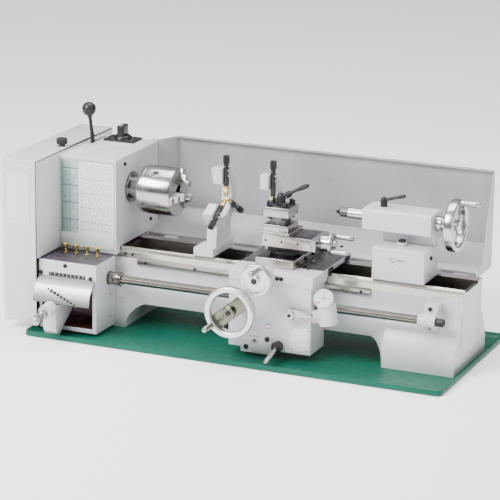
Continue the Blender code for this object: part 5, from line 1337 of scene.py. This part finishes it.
def tailstock(settings):
    soften("tailstock_base", "paint", "tailstock", settings.edge * 1.8, 3, 0.008)
    soften("tailstock_body", "paint", "tailstock", settings.edge * 1.8, 3, 0.008)
    segments = settings.segments
    with Piece("quill_barrel", "axis_x", "quill", "quill") as bm:
        profile = [(0, 0), (0, 0.0098), (0.0002, 0.0104), (0.001, 0.011), (0.151, 0.011), (0.151, 0)]
        add_turned(bm, profile, (0.199, 0, AXIS_Z), RIGHT, segments)
    with Piece("centre_point", "dark_steel", "quill", "dead_centre") as bm:
        profile = [
            (0, 0), (0.0002, 0.0003), (0.013, 0.0078), (0.0134, 0.0094), (0.0145, 0.0095), (0.028, 0.0095),
        ]
        add_turned(bm, profile + [(0.0286, 0.009), (0.0286, 0)], (0.17, 0, AXIS_Z), RIGHT, 64)
    with Piece("quill_marks", "mark", "quill", repeat=in_row(18, (0.002, 0, 0))) as bm:
        add_box(bm, (0.205, -0.0003, 0.0108), (0.2054, 0.0016, 0.0111), 0.0)
        bm.transform(Matrix.Translation((0, 0, AXIS_Z)) @ Matrix.Rotation(math.radians(35), 4, "X"))
    with Piece("tail_wheel_body", "axis_x", "tail_wheel", "tailstock_handwheel") as bm:
        add_rim(bm, (0.43, 0, AXIS_Z), LEFT, 0.052, 0.019, 0.012, segments)
        add_box(bm, (0.4115, -0.014, AXIS_Z - 0.043), (0.4205, 0.014, AXIS_Z + 0.043), 0.0015, 3)
        profile = [
            (0, 0), (0, 0.0142), (0.001, 0.0149), (0.012, 0.0149), (0.013, 0.012), (0.015, 0.0115),
            (0.0455, 0.0115), (0.0475, 0.0095), (0.0475, 0),
        ]
        add_turned(bm, profile, (0.3814, 0, AXIS_Z), RIGHT, 64)
    with Piece("tail_wheel_handle", "plate", "tail_wheel") as bm:
        add_handle(bm, (0.428, 0, AXIS_Z + 0.046), RIGHT, 0.0415, 0.0062)
    dial_marks("tail_dial_marks", "tail_wheel", (0.3845, 0, AXIS_Z + 0.0149), RIGHT, (0, 0, AXIS_Z),
               (0.004, 0.00035, 0.0003), 50)
    with Piece("quill_lock_handle", "oxide", "quill_lock", "quill_lock_lever") as bm:
        start = Vector((0.272, 0, AXIS_Z + 0.0218))
        profile = [(0, 0), (0, 0.0068), (0.001, 0.0072), (0.014, 0.0068), (0.0178, 0.0045), (0.018, 0)]
        add_turned(bm, profile, start, UP, 40)
        first, last = start + Vector((0, 0, 0.0125)), start + Vector((0.045, 0, 0.0256))
        length = (last - first).length
        shape = [
            (0, 0), (0, 0.0034), (length * 0.6, 0.0028), (length * 0.8, 0.004), (length * 0.95, 0.0036),
            (length, 0.001),
        ]
        add_turned(bm, shape + [(length, 0)], first, last - first, 32)
    with Piece("tailstock_screws", "oxide", "tailstock") as bm:
        add_rod(bm, (0.3184, -0.0185, 0.2345), (0.3184, -0.0185, 0.243), 0.0042, 24)
        add_hex(bm, (0.3184, -0.0185, 0.237), UP, 0.0076, 0.0055)
        add_cap_screw(bm, (0.3779, -0.02, 0.212), RIGHT, 0.004, 0.0035)
    with Piece("clamp_boss", "paint", "tailstock") as bm:
        add_rod(bm, (0.3184, -0.0185, 0.23), (0.3184, -0.0185, 0.2372), 0.0105, 40)
    with Piece("offset_scale", "mark", "tailstock") as bm:
        for left, right, z in ((0.3065, 0.3165, 0.211), (0.323, 0.337, 0.209), (0.312, 0.318, 0.204),
            (0.32, 0.3225, 0.2)):
            add_box(bm, (left, -0.0553, z), (right, -0.0549, z + 0.0014), 0.0)
        for step in range(7):
            add_box(bm, (0.3075 + 0.004 * step, -0.0553, 0.206), (0.308 + 0.004 * step, -0.0549, 0.2095), 0.0)


# ---- guard


def guard(settings):
    soften("splash_guard", "guard", "frame", 0.0002, 1, 0.02)
    with Piece("guard_screws", "oxide", "frame") as bm:
        for x in (-0.22, 0.411):
            add_cap_screw(bm, (x, 0.0795, 0.156), BACK, 0.003, 0.0024)
    with Piece("guard_flange_screws", "oxide", "frame", repeat=in_row(3, (0, 0, -0.06))) as bm:
        add_cap_screw(bm, (-0.2815, 0.1251, 0.33), BACK, 0.003, 0.0024)


# ---- stage


def flat_material(name, colour, roughness=0.9, glow=0.0):
    tree = Tree(name, colour)
    tree.set("Roughness", roughness).set("Emission Color", (*colour, 1.0)).set("Emission Strength", glow)
    return tree.material


def add_light(name, place, target, size, power):
    data = bpy.data.lights.new(name, "AREA")
    data.shape = "RECTANGLE"
    data.size, data.size_y = size
    data.energy = power
    light = link_object(name, data)
    light.location = place
    light.rotation_euler = (Vector(target) - Vector(place)).to_track_quat("-Z", "Y").to_euler()


def add_camera():
    turn, tilt, roll = 0.40098, 0.279965, 0.013198
    back = Vector((math.sin(turn) * math.cos(tilt), -math.cos(turn) * math.cos(tilt), math.sin(tilt)))
    right = Vector((math.cos(turn), math.sin(turn), 0.0))
    up = back.cross(right)
    across_view = right * math.cos(roll) + up * math.sin(roll)
    upward = up * math.cos(roll) - right * math.sin(roll)
    data = bpy.data.cameras.new("camera")
    data.sensor_width = 36.0
    data.lens = 36.0 * 2410.09 / 500.0
    data.shift_x, data.shift_y = -0.02944, 0.024
    data.clip_end = 100.0
    camera = link_object("camera", data)
    matrix = Matrix((across_view, upward, back)).transposed().to_4x4()
    matrix.translation = (1.835866, -4.281361, 1.491619)
    camera.matrix_world = matrix
    bpy.context.scene.camera = camera


def stage(settings):
    bm = bmesh.new()
    bmesh.ops.create_grid(bm, x_segments=1, y_segments=1, size=40.0,
        matrix=Matrix.Translation((0, 0, -0.0005)))
    mesh = to_mesh(bm, "floor")
    mesh.materials.append(flat_material("floor_white", (0.97, 0.97, 0.97), 0.9, 0.44))
    link_object("floor", mesh)
    world = bpy.data.worlds.new("studio")
    bpy.context.scene.world = world
    world.use_nodes = True
    nodes, links = world.node_tree.nodes, world.node_tree.links
    direction = nodes.new("ShaderNodeTexCoord")
    parts = nodes.new("ShaderNodeSeparateXYZ")
    ramp = nodes.new("ShaderNodeValToRGB")
    links.new(direction.outputs["Generated"], parts.inputs[0])
    links.new(parts.outputs["Z"], ramp.inputs[0])
    links.new(ramp.outputs[0], nodes["Background"].inputs["Color"])
    ramp.color_ramp.elements[0].color = (0.16, 0.16, 0.17, 1.0)
    ramp.color_ramp.elements[0].position = 0.06
    ramp.color_ramp.elements[1].color = (1.0, 1.0, 1.0, 1.0)
    ramp.color_ramp.elements[1].position = 0.62
    nodes["Background"].inputs["Strength"].default_value = settings.ambient
    add_light("key", (-1.6, -2.4, 2.6), (0, 0, 0.15), (2.2, 1.6), 255 * settings.light)
    add_light("fill", (2.6, -1.6, 1.6), (0, 0, 0.15), (1.8, 1.8), 26 * settings.light)
    add_light("top", (0.0, 0.4, 2.8), (0, 0, 0.1), (2.6, 1.6), 95 * settings.light)
    add_camera()


# ---- add-on


class LatheSettings(bpy.types.PropertyGroup):
    edge: FloatProperty(name="Edge", description="Base radius of a casting's rounded edges, in metres",
        default=0.0012)
    segments: IntProperty(name="Segments", description="Sides of the large turned pieces", default=96, min=24)
    light: FloatProperty(name="Light", description="Strength of the studio lamps", default=1.0)
    ambient: FloatProperty(name="Ambient", description="Strength of the light from all round", default=0.62)


def make_operator(key, text, *builders):
    def execute(self, context):
        for builder in builders:
            builder(context.scene.lathe_settings)
        return {"FINISHED"}

    members = {"bl_idname": f"lathe.{key}", "bl_label": key.capitalize(), "__doc__": text, "execute": execute}
    return type(f"LATHE_OT_{key}", (bpy.types.Operator,), members)


OPERATORS = [
    make_operator("base", "Builds the tray, the bed and the rack", tray, bed),
    make_operator("headstock", "Builds the headstock, its controls and the end cover", headstock, end_cover),
    make_operator("chuck", "Builds the spindle nose, the chuck and its jaws", chuck),
    make_operator("drive", "Builds the motor, pulleys, belt and gears", drive),
    make_operator("gearbox", "Builds the feed gearbox and its tumbler", gearbox),
    make_operator("leadscrew", "Builds the leadscrew and its bracket", leadscrew),
    make_operator("carriage", "Builds the saddle, the apron and their wheels", carriage),
    make_operator("slides", "Builds the cross slide, the compound and the tool post", slides),
    make_operator("rests", "Builds the steady rest and the follow rest", rests),
    make_operator("tailstock", "Builds the tailstock", tailstock),
    make_operator("guard", "Builds the splash guard", guard),
    make_operator("stage", "Adds the floor, the lights and the camera", stage),
]


class LATHE_PT_panel(bpy.types.Panel):
    """Buttons that build the lathe, group by group"""

    bl_idname = "LATHE_PT_panel"
    bl_label = "Lathe"
    bl_space_type = "VIEW_3D"
    bl_region_type = "UI"
    bl_category = "Lathe"

    def draw(self, context):
        settings = context.scene.lathe_settings
        for name in ("edge", "segments", "light", "ambient"):
            self.layout.prop(settings, name)
        for operator in OPERATORS:
            self.layout.operator(operator.bl_idname)


CLASSES = [LatheSettings, *OPERATORS, LATHE_PT_panel]


def register():
    for item in CLASSES:
        bpy.utils.register_class(item)
    bpy.types.Scene.lathe_settings = PointerProperty(type=LatheSettings)


def unregister():
    del bpy.types.Scene.lathe_settings
    for item in reversed(CLASSES):
        bpy.utils.unregister_class(item)


def main():
    for obj in list(bpy.data.objects):
        bpy.data.objects.remove(obj, do_unlink=True)
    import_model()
    register()
    MATERIALS.update(make_materials())
    for operator in OPERATORS:
        group, name = operator.bl_idname.split(".")
        getattr(getattr(bpy.ops, group), name)()


if __name__ == "__main__":
    main()
